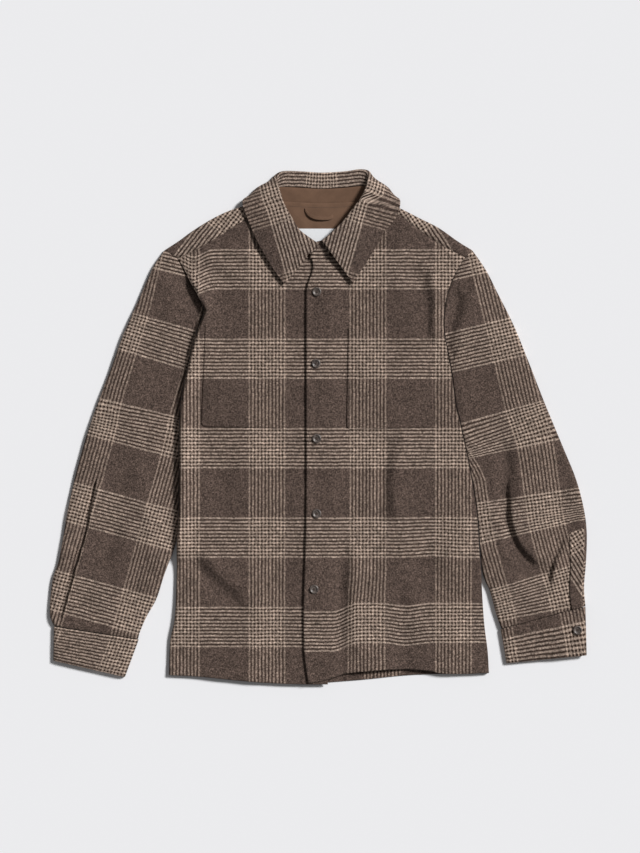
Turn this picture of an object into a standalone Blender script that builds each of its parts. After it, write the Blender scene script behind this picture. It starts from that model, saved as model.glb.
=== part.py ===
# Checked wool shirt-jacket, buttoned up and laid flat on its back.
# +X is to the viewer's right, +Y runs from hem to collar, +Z is up from the surface it lies on.
# Sides are the wearer's, so the right sleeve lies at -X. All sizes below are in millimetres.
import math
from collections import namedtuple

import bmesh
import bpy
import numpy as np

MM = 0.001
CLOTH = 2.2  # wall of brushed wool cloth
COLLAR_WALL = 2.4  # two plies and interfacing
CUFF_WALL = 2.6
LINING_WALL = 1.2
STAND_WALL = 1.5
LABEL_WALL = 0.8
SEAM = 0.3  # gap that pieces lying on each other keep
SEWN_GAP = 1.1  # gap along a seam between panels, and from sleeve to body side
AIR = 3.4  # between the two layers where they lie on each other
TOP = 2 * CLOTH + AIR  # upper face of the upper layer
SEAM_LEVEL = 3.7  # height of the side seam and of the folded edges' outermost line
EDGE_RADIUS = 9.0  # how far a folded edge's rounding reaches in, on top
UNDER_RADIUS = 4.0  # and underneath
COLLAR_LIFT = 2.8  # the collar's fall lies under the back yoke and lifts it this far
BUTTON_RADIUS = 7.0
BUTTON_HEIGHT = 3.0
LAP_LIFT = 2.6  # the left front lies on the right one along the opening

# Share of the edge radius, and share of the height, along a folded edge's section.
EDGE_SECTION = ((0.0, 0.0), (0.0, 0.3), (0.09, 0.6), (0.32, 0.86), (0.64, 0.97), (1.0, 1.0))
UNDER_SECTION = ((0.0, 0.0), (0.0, 0.35), (0.35, 0.85), (1.0, 1.0))

# Outlines, as (x, y) along each edge.
RIGHT_SIDE = ((-230, -379), (-228, -327), (-221, -290), (-218, -222), (-218, -179), (-215, -135),
              (-214, -76), (-214, -18), (-211, 40), (-202, 85), (-191, 131), (-175, 175))
LEFT_SIDE = ((257, -376), (255, -342), (250, -302), (247, -261), (245, -219), (242, -185), (238, -126),
             (225, -51), (212, 9), (207, 29), (201, 74), (195, 108), (189, 140))
RIGHT_ARMHOLE = ((-175, 175), (-185, 198), (-196, 217), (-207, 240), (-217, 255), (-236, 268))
LEFT_ARMHOLE = ((189, 140), (188, 164), (193, 198), (201, 221), (212, 243), (221, 256), (231, 268))
RIGHT_SHOULDER = ((-236, 268), (-213, 283), (-194, 297), (-165, 315), (-137, 328), (-106, 337), (-88, 340))
LEFT_SHOULDER = ((231, 268), (210, 281), (180, 302), (150, 317), (126, 329), (109, 336), (97, 340))
RIGHT_YOKE_SEAM = ((-217, 255), (-182, 271), (-155, 287), (-116, 312), (-87, 325))
LEFT_YOKE_SEAM = ((221, 256), (180, 278), (150, 299), (117, 322), (93, 330))
RIGHT_NECKLINE = ((-87, 325), (-79, 301), (-61, 278), (-38, 263), (-11, 256), (12, 257))
LEFT_NECKLINE = ((93, 330), (84, 306), (64, 283), (38, 266), (15, 258), (-14, 256))
BACK_NECKLINE = ((-88, 340), (-46, 337), (3, 336), (53, 337), (97, 340))
RIGHT_HEM = ((-230, -379), (-178, -382), (-128, -387), (-78, -391), (-29, -393), (12, -393))
LEFT_HEM = ((257, -376), (193, -377), (164, -372), (134, -370), (96, -371), (43, -376), (8, -386), (-18, -391))
BACK_HEM = ((-230, -379), (-178, -382), (-128, -386), (-79, -390), (-29, -391), (0, -391), (67, -386),
            (125, -380), (164, -378), (222, -378), (257, -376))
RIGHT_OPENING = ((12, -393), (12, 257))
LEFT_OPENING = ((-18, -391), (-24, -347), (-25, -306), (-25, -264), (-23, -204), (-21, -112), (-21, 40),
                (-21, 192), (-19, 214), (-12, 234), (-11, 246), (-14, 256))
BACK_YOKE_SEAM_Y = 214

RIGHT_SLEEVE_OUTER = ((-236, 268), (-255, 239), (-278, 187), (-301, 135), (-319, 85), (-339, 33), (-356, -17),
                      (-374, -82), (-385, -134), (-397, -202), (-406, -230), (-410, -257), (-411, -288), (-405, -304))
RIGHT_SLEEVE_INNER = ((-175, 175), (-191, 131), (-202, 85), (-211, 40), (-214, -18), (-214, -76), (-215, -135),
                      (-219, -179), (-236, -226), (-248, -263), (-263, -290), (-273, -313), (-276, -324))
LEFT_SLEEVE_OUTER = ((231, 268), (240, 256), (255, 233), (270, 203), (294, 155), (315, 104), (342, 35), (369, -30),
                     (389, -79), (401, -123), (406, -161), (405, -205), (402, -245), (404, -274))
LEFT_SLEEVE_INNER = ((189, 140), (195, 108), (201, 74), (207, 29), (212, 9), (225, -51), (238, -126), (243, -185),
                     (246, -219), (251, -237), (258, -252), (267, -285), (275, -308))

# Cuff corners: sleeve end outside and inside, then open end outside and inside.
CUFF_RIGHT = {"top": ((-405, -305), (-276, -325)), "open": ((-406, -357), (-297, -382))}
CUFF_LEFT = {"top": ((400, -275), (275, -309)), "open": ((402, -349), (284, -361))}

# Pockets: (outer, inner) edge x at the bottom and at the top, and bottom and top y at the pocket's middle.
Pocket = namedtuple("Pocket", "outer_bottom outer_top inner_bottom inner_top bottom top")
POCKET_RIGHT = Pocket(-181, -174, -49, -52, 0, 154)
POCKET_LEFT = Pocket(173, 170, 40, 43, -1, 151)

# Soft folds: a ridge, or a trough where height is negative, along a segment.
Fold = namedtuple("Fold", "x0 y0 x1 y1 reach height")
FOLDS = (
    Fold(-165, 268, -118, 246, 22, 2.2),  # right shoulder, over the armhole
    Fold(178, 214, 170, 140, 13, -2.2),  # tuck beside the left armhole
    Fold(152, 190, 150, 120, 20, 1.6),
    Fold(102, -30, 97, -135, 17, -2.4),  # below the left pocket
    Fold(134, -60, 128, -170, 24, 2.0),
    Fold(30, -195, 28, -330, 16, -2.0),  # beside the left front's opening
    Fold(84, -240, 70, -372, 30, 2.8),
    Fold(140, -280, 152, -372, 26, 2.6),  # the hem wave
    Fold(205, -250, 196, -360, 22, 1.4),
    Fold(-192, -215, -150, -276, 15, -2.4),  # right front, above the hem
    Fold(-150, -205, -96, -275, 24, 1.5),
    Fold(-120, 60, -112, -120, 30, 1.2),
    Fold(-232, 190, -214, 110, 20, -1.6),  # under the right arm
    Fold(-262, 150, -300, 20, 26, 1.8),
    Fold(-337, -70, -391, -282, 9, -2.8),  # long pleat of the right sleeve
    Fold(-318, -95, -368, -285, 17, 2.0),
    Fold(-270, -150, -318, -232, 15, -1.8),
    Fold(232, 178, 226, 100, 14, -2.2),  # under the left arm
    Fold(262, 150, 300, 0, 26, 1.6),
    Fold(291, -30, 284, -172, 13, -3.2),  # elbow of the left sleeve
    Fold(284, -172, 325, -206, 11, -3.0),
    Fold(330, -60, 335, -150, 24, 2.8),
    Fold(378, -160, 350, -236, 9, -2.8),  # pleat above the left cuff
    Fold(300, -215, 345, -262, 18, 1.8),
)

# Collar sections, from the right front end round the back of the neck to the left front end.
# Each holds the neck seam, the roll, the middle of the fall and the fall's edge as (x, y, z),
# and the height of the seam between fall and stand.
CollarSection = namedtuple("CollarSection", "neck seam_z roll middle edge")
COLLAR = (
    CollarSection((-9, 259, 8.6), 10.6, (-2, 277, 14.5), (-28, 247, 15.6), (-54, 216, 12.4)),
    CollarSection((-32, 265, 8.6), 10.8, (-17, 287, 15.6), (-41, 259, 16.6), (-65, 230, 13.0)),
    CollarSection((-54, 279, 8.8), 11.2, (-32, 299, 16.6), (-56, 276, 17.6), (-79, 252, 13.8)),
    CollarSection((-71, 300, 8.8), 11.6, (-44, 319, 17.2), (-71, 302, 18.0), (-97, 284, 14.6)),
    CollarSection((-82, 321, 8.8), 11.6, (-55, 339, 17.0), (-85, 329, 17.6), (-110, 315, 14.4)),
    CollarSection((-83, 332, 8.6), 11.6, (-59, 352, 15.8), (-93, 349, 14.6), (-118, 340, 13.2)),
    CollarSection((-80, 342.6, 7.2), 10.6, (-64, 369, 12.6), (-97, 362, 6.6), (-109, 347, 1.4)),
    CollarSection((-74, 341.5, 6.0), 8.4, (-66, 381, 8.0), (-83, 364, 2.0), (-90, 325, 0.0)),
    CollarSection((-62, 340.5, 5.4), 6.6, (-56, 388, 4.2), (-66, 358, 0.0), (-68, 321, 0.0)),
    CollarSection((-30, 338.4, 5.4), 6.2, (-30, 388, 3.0), (-32, 354, 0.0), (-34, 319, 0.0)),
    CollarSection((3, 337.2, 5.4), 6.2, (3, 386, 3.0), (3, 353, 0.0), (3, 319, 0.0)),
    CollarSection((38, 338.4, 5.4), 6.2, (38, 388, 3.0), (40, 354, 0.0), (42, 319, 0.0)),
    CollarSection((70, 340.5, 5.4), 6.6, (61, 391, 4.2), (70, 358, 0.0), (74, 321, 0.0)),
    CollarSection((83, 342, 6.0), 8.4, (73, 387, 8.0), (90, 366, 2.0), (97, 325, 0.0)),
    CollarSection((89, 342.8, 7.2), 10.6, (72, 373, 12.6), (104, 363, 6.6), (115, 347, 1.4)),
    CollarSection((92, 335, 8.6), 11.6, (68, 359, 15.8), (100, 352, 14.6), (122, 340, 13.4)),
    CollarSection((90, 325, 8.8), 11.6, (61, 345, 17.0), (92, 333, 17.6), (116, 317, 14.4)),
    CollarSection((77, 305, 8.8), 11.6, (49, 329, 17.8), (73, 313, 19.0), (98, 294, 16.0)),
    CollarSection((58, 284, 8.8), 11.2, (35, 311, 18.2), (58, 291, 19.6), (84, 270, 17.2)),
    CollarSection((35, 269, 8.8), 10.8, (18, 294, 17.8), (44, 270, 19.8), (68, 244, 17.8)),
    CollarSection((13, 262, 8.8), 10.6, (2, 281, 16.6), (26, 250, 19.6), (50, 217, 18.0)),
)
COLLAR_COUNT = 42  # sections along the collar
ROLL_RADII = (2.8, 3.5)

BUTTONS = ((-5, 204), (-6, 95), (-5, -19), (-5, -133), (-9, -248))
CUFF_BUTTON = (391, -310)

COLOURS = {
    "wool_check": (0.115, 0.085, 0.068), "brown_twill": (0.115, 0.065, 0.043),
    "white_label": (0.85, 0.86, 0.87), "horn_button": (0.07, 0.06, 0.055),
}


def smooth_step(value):
    value = min(1.0, max(0.0, value))
    return value * value * (3 - 2 * value)


def mix(a, b, share):
    return np.asarray(a, float) * (1 - share) + np.asarray(b, float) * share


class Curve:
    """A smooth curve through the given points, measured along its length. Several parts meet in corners."""

    def __init__(self, *parts):
        fine = []
        for part in parts:
            points = [np.asarray(p, float) for p in part]
            ends = [2 * points[0] - points[1]] + points + [2 * points[-1] - points[-2]]
            for a, b, c, d in zip(ends, ends[1:], ends[2:], ends[3:]):
                for t in evenly(0, 1, 9)[:-1]:
                    fine.append(0.5 * (2 * b + (c - a) * t + (2 * a - 5 * b + 4 * c - d) * t * t
                                       + (3 * b - a - 3 * c + d) * t ** 3))
        self.fine = np.array(fine + [parts[-1][-1]], float)
        steps = np.linalg.norm(np.diff(self.fine, axis=0), axis=1)
        self.length = np.concatenate([[0], np.cumsum(steps)])

    def at(self, share):
        return np.array([np.interp(share * self.length[-1], self.length, axis) for axis in self.fine.T])

    def x_at(self, y):
        rows = self.fine if self.fine[0, 1] < self.fine[-1, 1] else self.fine[::-1]
        return float(np.interp(y, rows[:, 1], rows[:, 0]))


def through(points, shares):
    curve = Curve(points)
    return np.array([curve.at(share) for share in shares])


def evenly(start, end, count):
    return [start + (end - start) * k / (count - 1) for k in range(count)]


def lift(x, y):
    """How far the collar's fall, under the back yoke, raises everything above it."""
    across = smooth_step((x + 164) / 44) * smooth_step((168 - x) / 44)
    return COLLAR_LIFT * across * smooth_step((y - 268) / 44)


def fold_height(x, y):
    total = 0.0
    for fold in FOLDS:
        along = np.array([fold.x1 - fold.x0, fold.y1 - fold.y0], float)
        offset = np.array([x - fold.x0, y - fold.y0], float)
        share = float(offset @ along / (along @ along))
        nearest = min(1.0, max(0.0, share))
        away = np.linalg.norm(offset - along * nearest) / fold.reach
        total += fold.height * math.exp(-away * away)
    return total


def top_level(x, y):
    return TOP + lift(x, y) + fold_height(x, y)


def edge_share(distance):
    """Share of the height that a folded edge's top has reached, so far in from its outermost line."""
    rows = EDGE_SECTION[1:]
    at = distance / EDGE_RADIUS
    if at <= 0:
        return 0.0
    return float(np.interp(at, [r[0] for r in rows], [r[1] for r in rows])) if at < 1 else 1.0


def material(name):
    found = bpy.data.materials.get(name)
    if found:
        return found
    made = bpy.data.materials.new(name)
    made.use_nodes = True
    shader = made.node_tree.nodes["Principled BSDF"]
    shader.inputs["Base Color"].default_value = (*COLOURS[name], 1)
    shader.inputs["Roughness"].default_value = 0.35 if name == "horn_button" else 0.9
    return made


def finish_object(name, mesh_data, slot):
    part = bpy.data.objects.new(name, mesh_data)
    bpy.context.scene.collection.objects.link(part)
    part.data.materials.append(material(slot))
    part.data.shade_smooth()
    part.data.set_sharp_from_angle(angle=math.radians(50))
    return part


def add_grid(work, points):
    """Lays a grid through rows of points, given in millimetres."""
    rows, columns = len(points), len(points[0])
    made = bmesh.ops.create_grid(work, x_segments=columns - 1, y_segments=rows - 1, size=1)
    for vertex in made["verts"]:
        column = round((vertex.co.x + 1) / 2 * (columns - 1))
        row = round((vertex.co.y + 1) / 2 * (rows - 1))
        vertex.co = [c * MM for c in points[row][column]]


# Which of a grid's faces tells its outer side, by height, and whether that face looks up.
UPPER, UNDER, STAND = (-1, True), (0, False), (0, True)


def cloth(name, grids, wall, slot, outer_side=UPPER):
    """One wall of cloth from the grids of its outer face, sewn where they meet and thickened inwards."""
    work = bmesh.new()
    for points in grids:
        add_grid(work, points)
    bmesh.ops.remove_doubles(work, verts=work.verts, dist=0.02 * MM)
    bmesh.ops.recalc_face_normals(work, faces=work.faces)
    by_height = sorted(work.faces, key=lambda f: f.calc_center_median().z)
    place, looks_up = outer_side
    if (by_height[place].normal.z > 0) != looks_up:
        bmesh.ops.reverse_faces(work, faces=work.faces)
    data = bpy.data.meshes.new(name)
    work.to_mesh(data)
    work.free()
    part = finish_object(name, data, slot)
    thicken = part.modifiers.new("Wall", "SOLIDIFY")
    thicken.thickness = wall * MM
    thicken.offset = -1
    return part


def moved_out(points, distance):
    """The same grid of points, moved out along its own normals."""
    grid = np.array(points, float)
    across = np.gradient(grid, axis=1)
    along = np.gradient(grid, axis=0)
    normals = np.cross(across, along)
    normals /= np.linalg.norm(normals, axis=2, keepdims=True)
    normals *= np.where(normals[..., 2:] < 0, -1, 1)
    return grid + normals * distance


class Panel:
    """A front or back: a patch between a side, an opening or far side, a hem and a top edge."""

    def __init__(self, side, armhole, far, hem, top_y, yoke_seam, neckline):
        self.side, self.armhole, self.far = Curve(side), Curve(armhole), Curve(far)
        self.hem, self.top = Curve(hem), Curve(yoke_seam, neckline)
        self.corner = Curve(yoke_seam).length[-1] / self.top.length[-1]
        self.armpit = np.array(armhole[0], float)
        self.hem_y, self.top_y = side[0][1], top_y

    def side_point(self, y):
        outline = self.side if y <= self.armpit[1] else self.armhole
        return np.array([outline.x_at(y), y])

    def far_point(self, y):
        low, high = self.far.fine[0, 1], self.far.fine[-1, 1]
        level = low + (high - low) * (y - self.hem_y) / (self.top_y - self.hem_y)
        return np.array([self.far.x_at(level), level])

    def at(self, u, y):
        """The side and far edge joined straight, bent to follow the hem and the top edge close to them."""
        straight = mix(self.side_point(y), self.far_point(y), u)
        by_hem = 1 - smooth_step((y - self.hem_y) / 110)
        by_top = smooth_step((y - 158) / (self.top_y - 158))
        hem_bend = self.hem.at(u) - mix(self.side_point(self.hem_y), self.far_point(self.hem_y), u)
        top_bend = self.top.at(u) - mix(self.side_point(self.top_y), self.far_point(self.top_y), u)
        return straight + hem_bend * by_hem + top_bend * by_top

    def folded(self, y):
        """1 where the side is a folded edge, running out to 0 above the armpit."""
        return 1 - smooth_step((y - self.armpit[1]) / 16)

    def rows(self, levels):
        return sorted(set(levels + [self.armpit[1] + step for step in (0, 5, 10, 16)]))


def pocket_columns(pocket, panel, y):
    """A pocket's outer and inner edge at height y, as shares of the width. Above, they run to the neck."""
    side, far = panel.side_point(y)[0], panel.far_point(y)[0]
    up = (y - pocket.bottom) / (pocket.top - pocket.bottom)
    outer = pocket.outer_bottom + (pocket.outer_top - pocket.outer_bottom) * min(1.0, max(-0.6, up))
    inner = pocket.inner_bottom + (pocket.inner_top - pocket.inner_bottom) * min(1.4, max(-1.0, up))
    least = (EDGE_RADIUS + 1) / abs(far - side)
    to_neck = smooth_step((y - pocket.top) / (panel.top_y - pocket.top))
    inner_share = (inner - side) / (far - side) * (1 - to_neck) + panel.corner * to_neck
    return max((outer - side) / (far - side), least), inner_share


def front_grid(panel, pocket, rise):
    """Outer face of a front. Its first columns follow the folded side, the next ones the pocket's edges."""
    levels = evenly(panel.hem_y, pocket.bottom, 13) + evenly(pocket.bottom, pocket.top, 7)
    grid = []
    for y in panel.rows(levels + evenly(pocket.top, panel.top_y, 7)):
        outer, inner = pocket_columns(pocket, panel, y)
        width = abs(panel.far_point(y)[0] - panel.side_point(y)[0])
        folded = panel.folded(y)
        line = []
        for distance, share in EDGE_SECTION:
            stand_off = 0.7 * (1 - folded) if distance == 0 and share > 0 else 0
            line.append(((distance * EDGE_RADIUS + stand_off) / width, 1 - folded * (1 - share)))
        line += [(u, 1.0) for u in evenly(outer, inner, 7) + evenly(inner, 1, 6)[1:]]
        row = []
        for u, share in line:
            x, y_at = panel.at(u, y)
            level = SEAM_LEVEL + SEAM / 2 + lift(x, y_at)
            row.append((x, y_at, level + (top_level(x, y_at) + rise(x, y_at) - level) * share))
        grid.append(row)
    return grid


def rows_between(grid, low, high):
    """First and last row of a panel's grid between two heights of its side edge."""
    inside = [k for k, row in enumerate(grid) if low - 0.5 < row[0][1] < high + 0.5]
    return inside[0], inside[-1]


def lap(x, y):
    """The left front rises where it lies on the right one, and its hem lifts in a wave."""
    overlap = LAP_LIFT * (1 - smooth_step((x - 14) / 26))
    wave = 2.2 * math.exp(-((x - 95) / 55) ** 2) * smooth_step((-330 - y) / 45)
    return overlap + wave


def flat(x, y):
    return 0.0


def back_panel_grid():
    """Outer face of the back, which is underneath: flat, and turned up at the folded sides."""
    top_y = BACK_YOKE_SEAM_Y - SEWN_GAP
    right = Panel(RIGHT_SIDE, RIGHT_ARMHOLE, RIGHT_OPENING, RIGHT_HEM, top_y, RIGHT_YOKE_SEAM, RIGHT_NECKLINE)
    left = Panel(LEFT_SIDE, LEFT_ARMHOLE, LEFT_OPENING, LEFT_HEM, top_y, LEFT_YOKE_SEAM, LEFT_NECKLINE)
    hem = Curve(BACK_HEM).fine
    grid = []
    for y in left.rows(right.rows(evenly(right.hem_y, top_y, 14))):
        edges = []
        for panel, inwards in ((right, 1), (left, -1)):
            start, folded = panel.side_point(y)[0], panel.folded(y)
            edges.append([(start + inwards * (distance * UNDER_RADIUS + (0.7 * (1 - folded) if k == 1 else 0)),
                           (SEAM_LEVEL - SEAM / 2) * folded * (1 - share))
                          for k, (distance, share) in enumerate(UNDER_SECTION)])
        inner = evenly(edges[0][-1][0], edges[1][-1][0], 11)[1:-1]
        line = edges[0] + [(x, 0.0) for x in inner] + edges[1][::-1]
        by_hem = 1 - smooth_step((y - right.hem_y) / 110)
        grid.append([(x, y + by_hem * (np.interp(x, hem[:, 0], hem[:, 1]) - right.hem_y), z + lift(x, y))
                     for x, z in line])
    return grid


def yoke_grids():
    """The yoke wraps both shoulders: two strips on top, folded over the shoulder onto the back layer."""
    strip_rows = ((0.0, 0.0), (0.02, 0.3), (0.06, 0.6), (0.2, 0.86), (0.42, 0.97), (0.7, 1.0), (1.0, 1.0))
    shares = evenly(0, 1, 8)
    strips, under_columns = [], []
    for shoulder, seam in ((RIGHT_SHOULDER, RIGHT_YOKE_SEAM), (LEFT_SHOULDER, LEFT_YOKE_SEAM)):
        fold = through(shoulder, shares)
        front = through(seam, shares)
        grid = []
        for across, share in strip_rows:
            row = []
            for start, end in zip(fold, front):
                stop = end + (start - end) / np.linalg.norm(start - end) * SEWN_GAP
                x, y = mix(start, stop, across)
                level = SEAM_LEVEL + lift(x, y)
                row.append((x, y, level + (top_level(x, y) - level) * share))
            grid.append(row)
        strips.append(grid)
        under_columns.append(fold)
    right, left = under_columns
    neck = through(BACK_NECKLINE, evenly(0, 1, 9))[1:-1]
    tops = [(p, 1.0) for p in right] + [(p, 0.0) for p in neck] + [(p, 1.0) for p in left[::-1]]
    armholes = {0: Curve(RIGHT_ARMHOLE), len(tops) - 1: Curve(LEFT_ARMHOLE)}
    x0, x1 = (curve.x_at(BACK_YOKE_SEAM_Y) for curve in armholes.values())
    grid = []
    row_shares = [0.0, 0.012, 0.05, 0.16, 0.38, 0.68, 1.0]
    levels = [1.0, 0.62, 0.16, 0.0, 0.0, 0.0, 0.0]
    for across, level in zip(row_shares, levels):
        row = []
        for column, (start, folded) in enumerate(tops):
            end = np.array([x0 + (x1 - x0) * column / (len(tops) - 1), BACK_YOKE_SEAM_Y])
            x, y = mix(start, end, across)
            if column in armholes:
                x = armholes[column].x_at(y)
            row.append((x, y, SEAM_LEVEL * level * folded + lift(x, y)))
        grid.append(row)
    return strips + [grid]


class Sleeve:
    """A flattened tube between an outer and an inner edge, from the armhole to the cuff."""

    def __init__(self, outer, inner, armhole, away):
        self.outer, self.inner, self.away = Curve(outer), Curve(inner), away
        self.armhole, self.ends = Curve(armhole[::-1]), (armhole[-1], armhole[0])

    def at(self, w, t):
        start, end = self.outer.at(w), self.inner.at(w)
        end = end + np.array([self.away * SEWN_GAP, 0.0])
        bow = self.armhole.at(t) - mix(*self.ends, t)
        shift = np.array([self.away * 0.9, -0.5]) * SEWN_GAP * max(0.0, 1 - w / 0.06)
        return mix(start, end, t) + bow * (1 - smooth_step(w / 0.3)) + shift * (1 - t)

    def ring(self, w):
        """One closed section, from the outer edge over the top to the inner edge and back underneath."""
        width = np.linalg.norm(self.at(w, 0) - self.at(w, 1))
        top = [(d * EDGE_RADIUS / width, s) for d, s in EDGE_SECTION]
        middle = [(t, 1.0) for t in evenly(top[-1][0], 1 - top[-1][0], 7)[1:-1]]
        over = top + middle + [(1 - t, s) for t, s in top[::-1]]
        low = [(d * UNDER_RADIUS / width, s) for d, s in UNDER_SECTION]
        flat = [(t, 1.0) for t in (0.85, 0.68, 0.5, 0.32, 0.15)]
        under = [(1 - t, s) for t, s in low[1:]] + flat + low[:0:-1]
        points = []
        for t, share in over:
            x, y = self.at(w, t)
            points.append((x, y, SEAM_LEVEL + (top_level(x, y) - SEAM_LEVEL) * share))
        for t, share in under:
            x, y = self.at(w, t)
            points.append((x, y, SEAM_LEVEL * (1 - share)))
        return points + points[:1]

    def grid(self, sections):
        return [self.ring(w) for w in sections]


SLEEVE_STEPS = [0.0, 0.03, 0.07, 0.13, 0.2] + evenly(0.27, 1.0, 14)
LEFT_STEPS = sorted(SLEEVE_STEPS + [0.965])


def cuff_grid(corners, columns, profile):
    """Sections of a cuff from its sleeve end to its open end. profile(width) gives (across, height) pairs."""
    (top_out, top_in), (open_out, open_in) = corners["top"], corners["open"]
    down = np.array(open_in, float) - np.array(top_in, float)
    start = SEAM / np.linalg.norm(down)
    grid = []
    for share in evenly(start, 1, columns):
        outer, inner = mix(top_out, open_out, share), mix(top_in, open_in, share)
        width = np.linalg.norm(outer - inner)
        grid.append([(*mix(outer, inner, t), z) for t, z in profile(width)])
    return grid


def closed_cuff_profile(width):
    height = TOP + 0.6
    top = [(d * EDGE_RADIUS / width, SEAM_LEVEL + (height - SEAM_LEVEL) * s) for d, s in EDGE_SECTION]
    middle = [(t, height) for t in evenly(top[-1][0], 1 - top[-1][0], 6)[1:-1]]
    low = [(d * UNDER_RADIUS / width, SEAM_LEVEL * (1 - s)) for d, s in UNDER_SECTION]
    under = [(1 - t, z) for t, z in low[1:]] + [(0.66, 0.0), (0.33, 0.0)] + low[:0:-1]
    ring = top + middle + [(1 - t, z) for t, z in top[::-1]] + under
    return ring + ring[:1]


def lapped_cuff_profile(width):
    """The buttoned cuff: it starts under its own end, goes round, and laps over the start."""
    lower = TOP + 0.2
    upper = lower + CUFF_WALL + 0.5
    start = [(0.3, lower), (0.2, lower), (0.12, lower - 0.1), (0.05, lower - 1.2), (0.012, lower - 3.0)]
    turn = [(0.0, SEAM_LEVEL), (0.012, 1.0), (0.04, 0.0), (0.33, 0.0), (0.66, 0.0)]
    low = [(1 - d * UNDER_RADIUS / width, SEAM_LEVEL * (1 - s)) for d, s in UNDER_SECTION[:0:-1]]
    top = [(1 - d * EDGE_RADIUS / width, SEAM_LEVEL + (lower - SEAM_LEVEL) * s) for d, s in EDGE_SECTION[:-1]]
    over = [(0.9, lower), (0.7, lower), (0.52, lower + 0.4), (0.42, upper - 0.5), (0.34, upper)]
    end = [(0.24, upper), (0.14, upper), (0.05, upper - 0.1), (-0.03, upper - 0.9)]
    return start + turn + low + top + over + end


def collar_sections():
    """Points across the collar at each step along it: the fall to the seam, then the stand to the neck."""
    shares = evenly(0, 1, COLLAR_COUNT)
    tracks = {key: through([getattr(s, key) for s in COLLAR], shares) for key in ("neck", "roll", "middle", "edge")}
    seam_z = through([(s.seam_z, 0.0) for s in COLLAR], shares)[:, 0]
    falls, stands = [], []
    for k in range(COLLAR_COUNT):
        neck, roll, middle, edge = (tracks[key][k] for key in ("neck", "roll", "middle", "edge"))
        seam = mix(roll, neck, 0.5)
        seam[2] = seam_z[k]
        back = (middle + seam) / 2 - roll
        back /= np.linalg.norm(back)
        spread = middle - seam
        spread -= (spread @ back) * back
        radius = np.clip(0.45 * np.linalg.norm(spread), *ROLL_RADII)
        spread /= np.linalg.norm(spread)
        centre = roll + back * radius
        turns = [math.radians(a) for a in (90, 45, 0, -45, -90)]
        round_edge = [centre + radius * (math.sin(a) * spread - math.cos(a) * back) for a in turns]
        fall = list(through((edge, middle, round_edge[0]), (0, 0.28, 0.55, 0.8)))
        outer = np.array(fall + round_edge + [mix(round_edge[-1], seam, 0.5), seam])
        outer[:, 2] = np.maximum(outer[:, 2], 0.0)
        falls.append(outer)
        gap = (neck - seam) / np.linalg.norm(neck - seam) * SEWN_GAP
        stands.append([seam + gap, mix(seam, neck, 0.5), neck])
    return falls, stands


def patch(x0, x1, y0, y1, columns, rows, level):
    return [[(x, y, level + lift(x, y)) for x in evenly(x0, x1, columns)] for y in evenly(y0, y1, rows)]


def make_button(name, place, seat):
    """A turned horn button: domed rim round a shallow dish."""
    radius, height = BUTTON_RADIUS, BUTTON_HEIGHT
    profile = ((0, 1.7), (3.6, 1.7), (4.6, 2.7), (5.6, height), (6.5, 2.5), (radius, 1.5), (6.2, 0.3), (0, 0))
    work = bmesh.new()
    rim = [work.verts.new((r * MM, 0, z * MM)) for r, z in profile]
    for a, b in zip(rim, rim[1:]):
        work.edges.new((a, b))
    bmesh.ops.spin(work, geom=list(work.verts) + list(work.edges), cent=(0, 0, 0), axis=(0, 0, 1),
                   angle=2 * math.pi, steps=16, use_merge=True)
    bmesh.ops.remove_doubles(work, verts=work.verts, dist=0.01 * MM)
    bmesh.ops.recalc_face_normals(work, faces=work.faces)
    data = bpy.data.meshes.new(name)
    work.to_mesh(data)
    work.free()
    button = finish_object(name, data, "horn_button")
    button.location = (place[0] * MM, place[1] * MM, seat * MM)


def hanger_loop():
    """A narrow folded strip sewn down at both ends below the stand, its middle hanging loose."""
    line = through(((-23, 329), (-18, 322), (-9, 317), (3, 315.5), (14, 316), (20, 319)), evenly(0, 1, 12))
    grid = []
    for across in (-2.6, 0.0, 2.6):
        row = []
        for k, (x, y) in enumerate(line):
            rise = 2.2 * math.sin(math.pi * k / (len(line) - 1))
            row.append((x, y + across, LOOP_LEVEL + lift(x, y) + rise))
        grid.append(row)
    return grid


LINING_LEVEL = CLOTH + 1.0 + LINING_WALL
LABEL_LEVEL = LINING_LEVEL + SEAM + LABEL_WALL
LOOP_LEVEL = LINING_LEVEL + SEAM + LINING_WALL


def centre_on_floor():
    """Moves the whole garment so that its box is centred on the origin and stands on Z = 0."""
    bpy.context.view_layer.update()
    graph = bpy.context.evaluated_depsgraph_get()
    corners = []
    for part in bpy.context.scene.objects:
        shown = part.evaluated_get(graph)
        corners += [shown.matrix_world @ v.co for v in shown.to_mesh().vertices]
        shown.to_mesh_clear()
    corners = np.array(corners)
    low, high = corners.min(axis=0), corners.max(axis=0)
    for part in bpy.context.scene.objects:
        part.location.x -= (low[0] + high[0]) / 2
        part.location.y -= (low[1] + high[1]) / 2
        part.location.z -= low[2]


def sub_grid(grid, rows, columns):
    return [line[columns[0]:columns[1] + 1] for line in grid[rows[0]:rows[1] + 1]]


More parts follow.
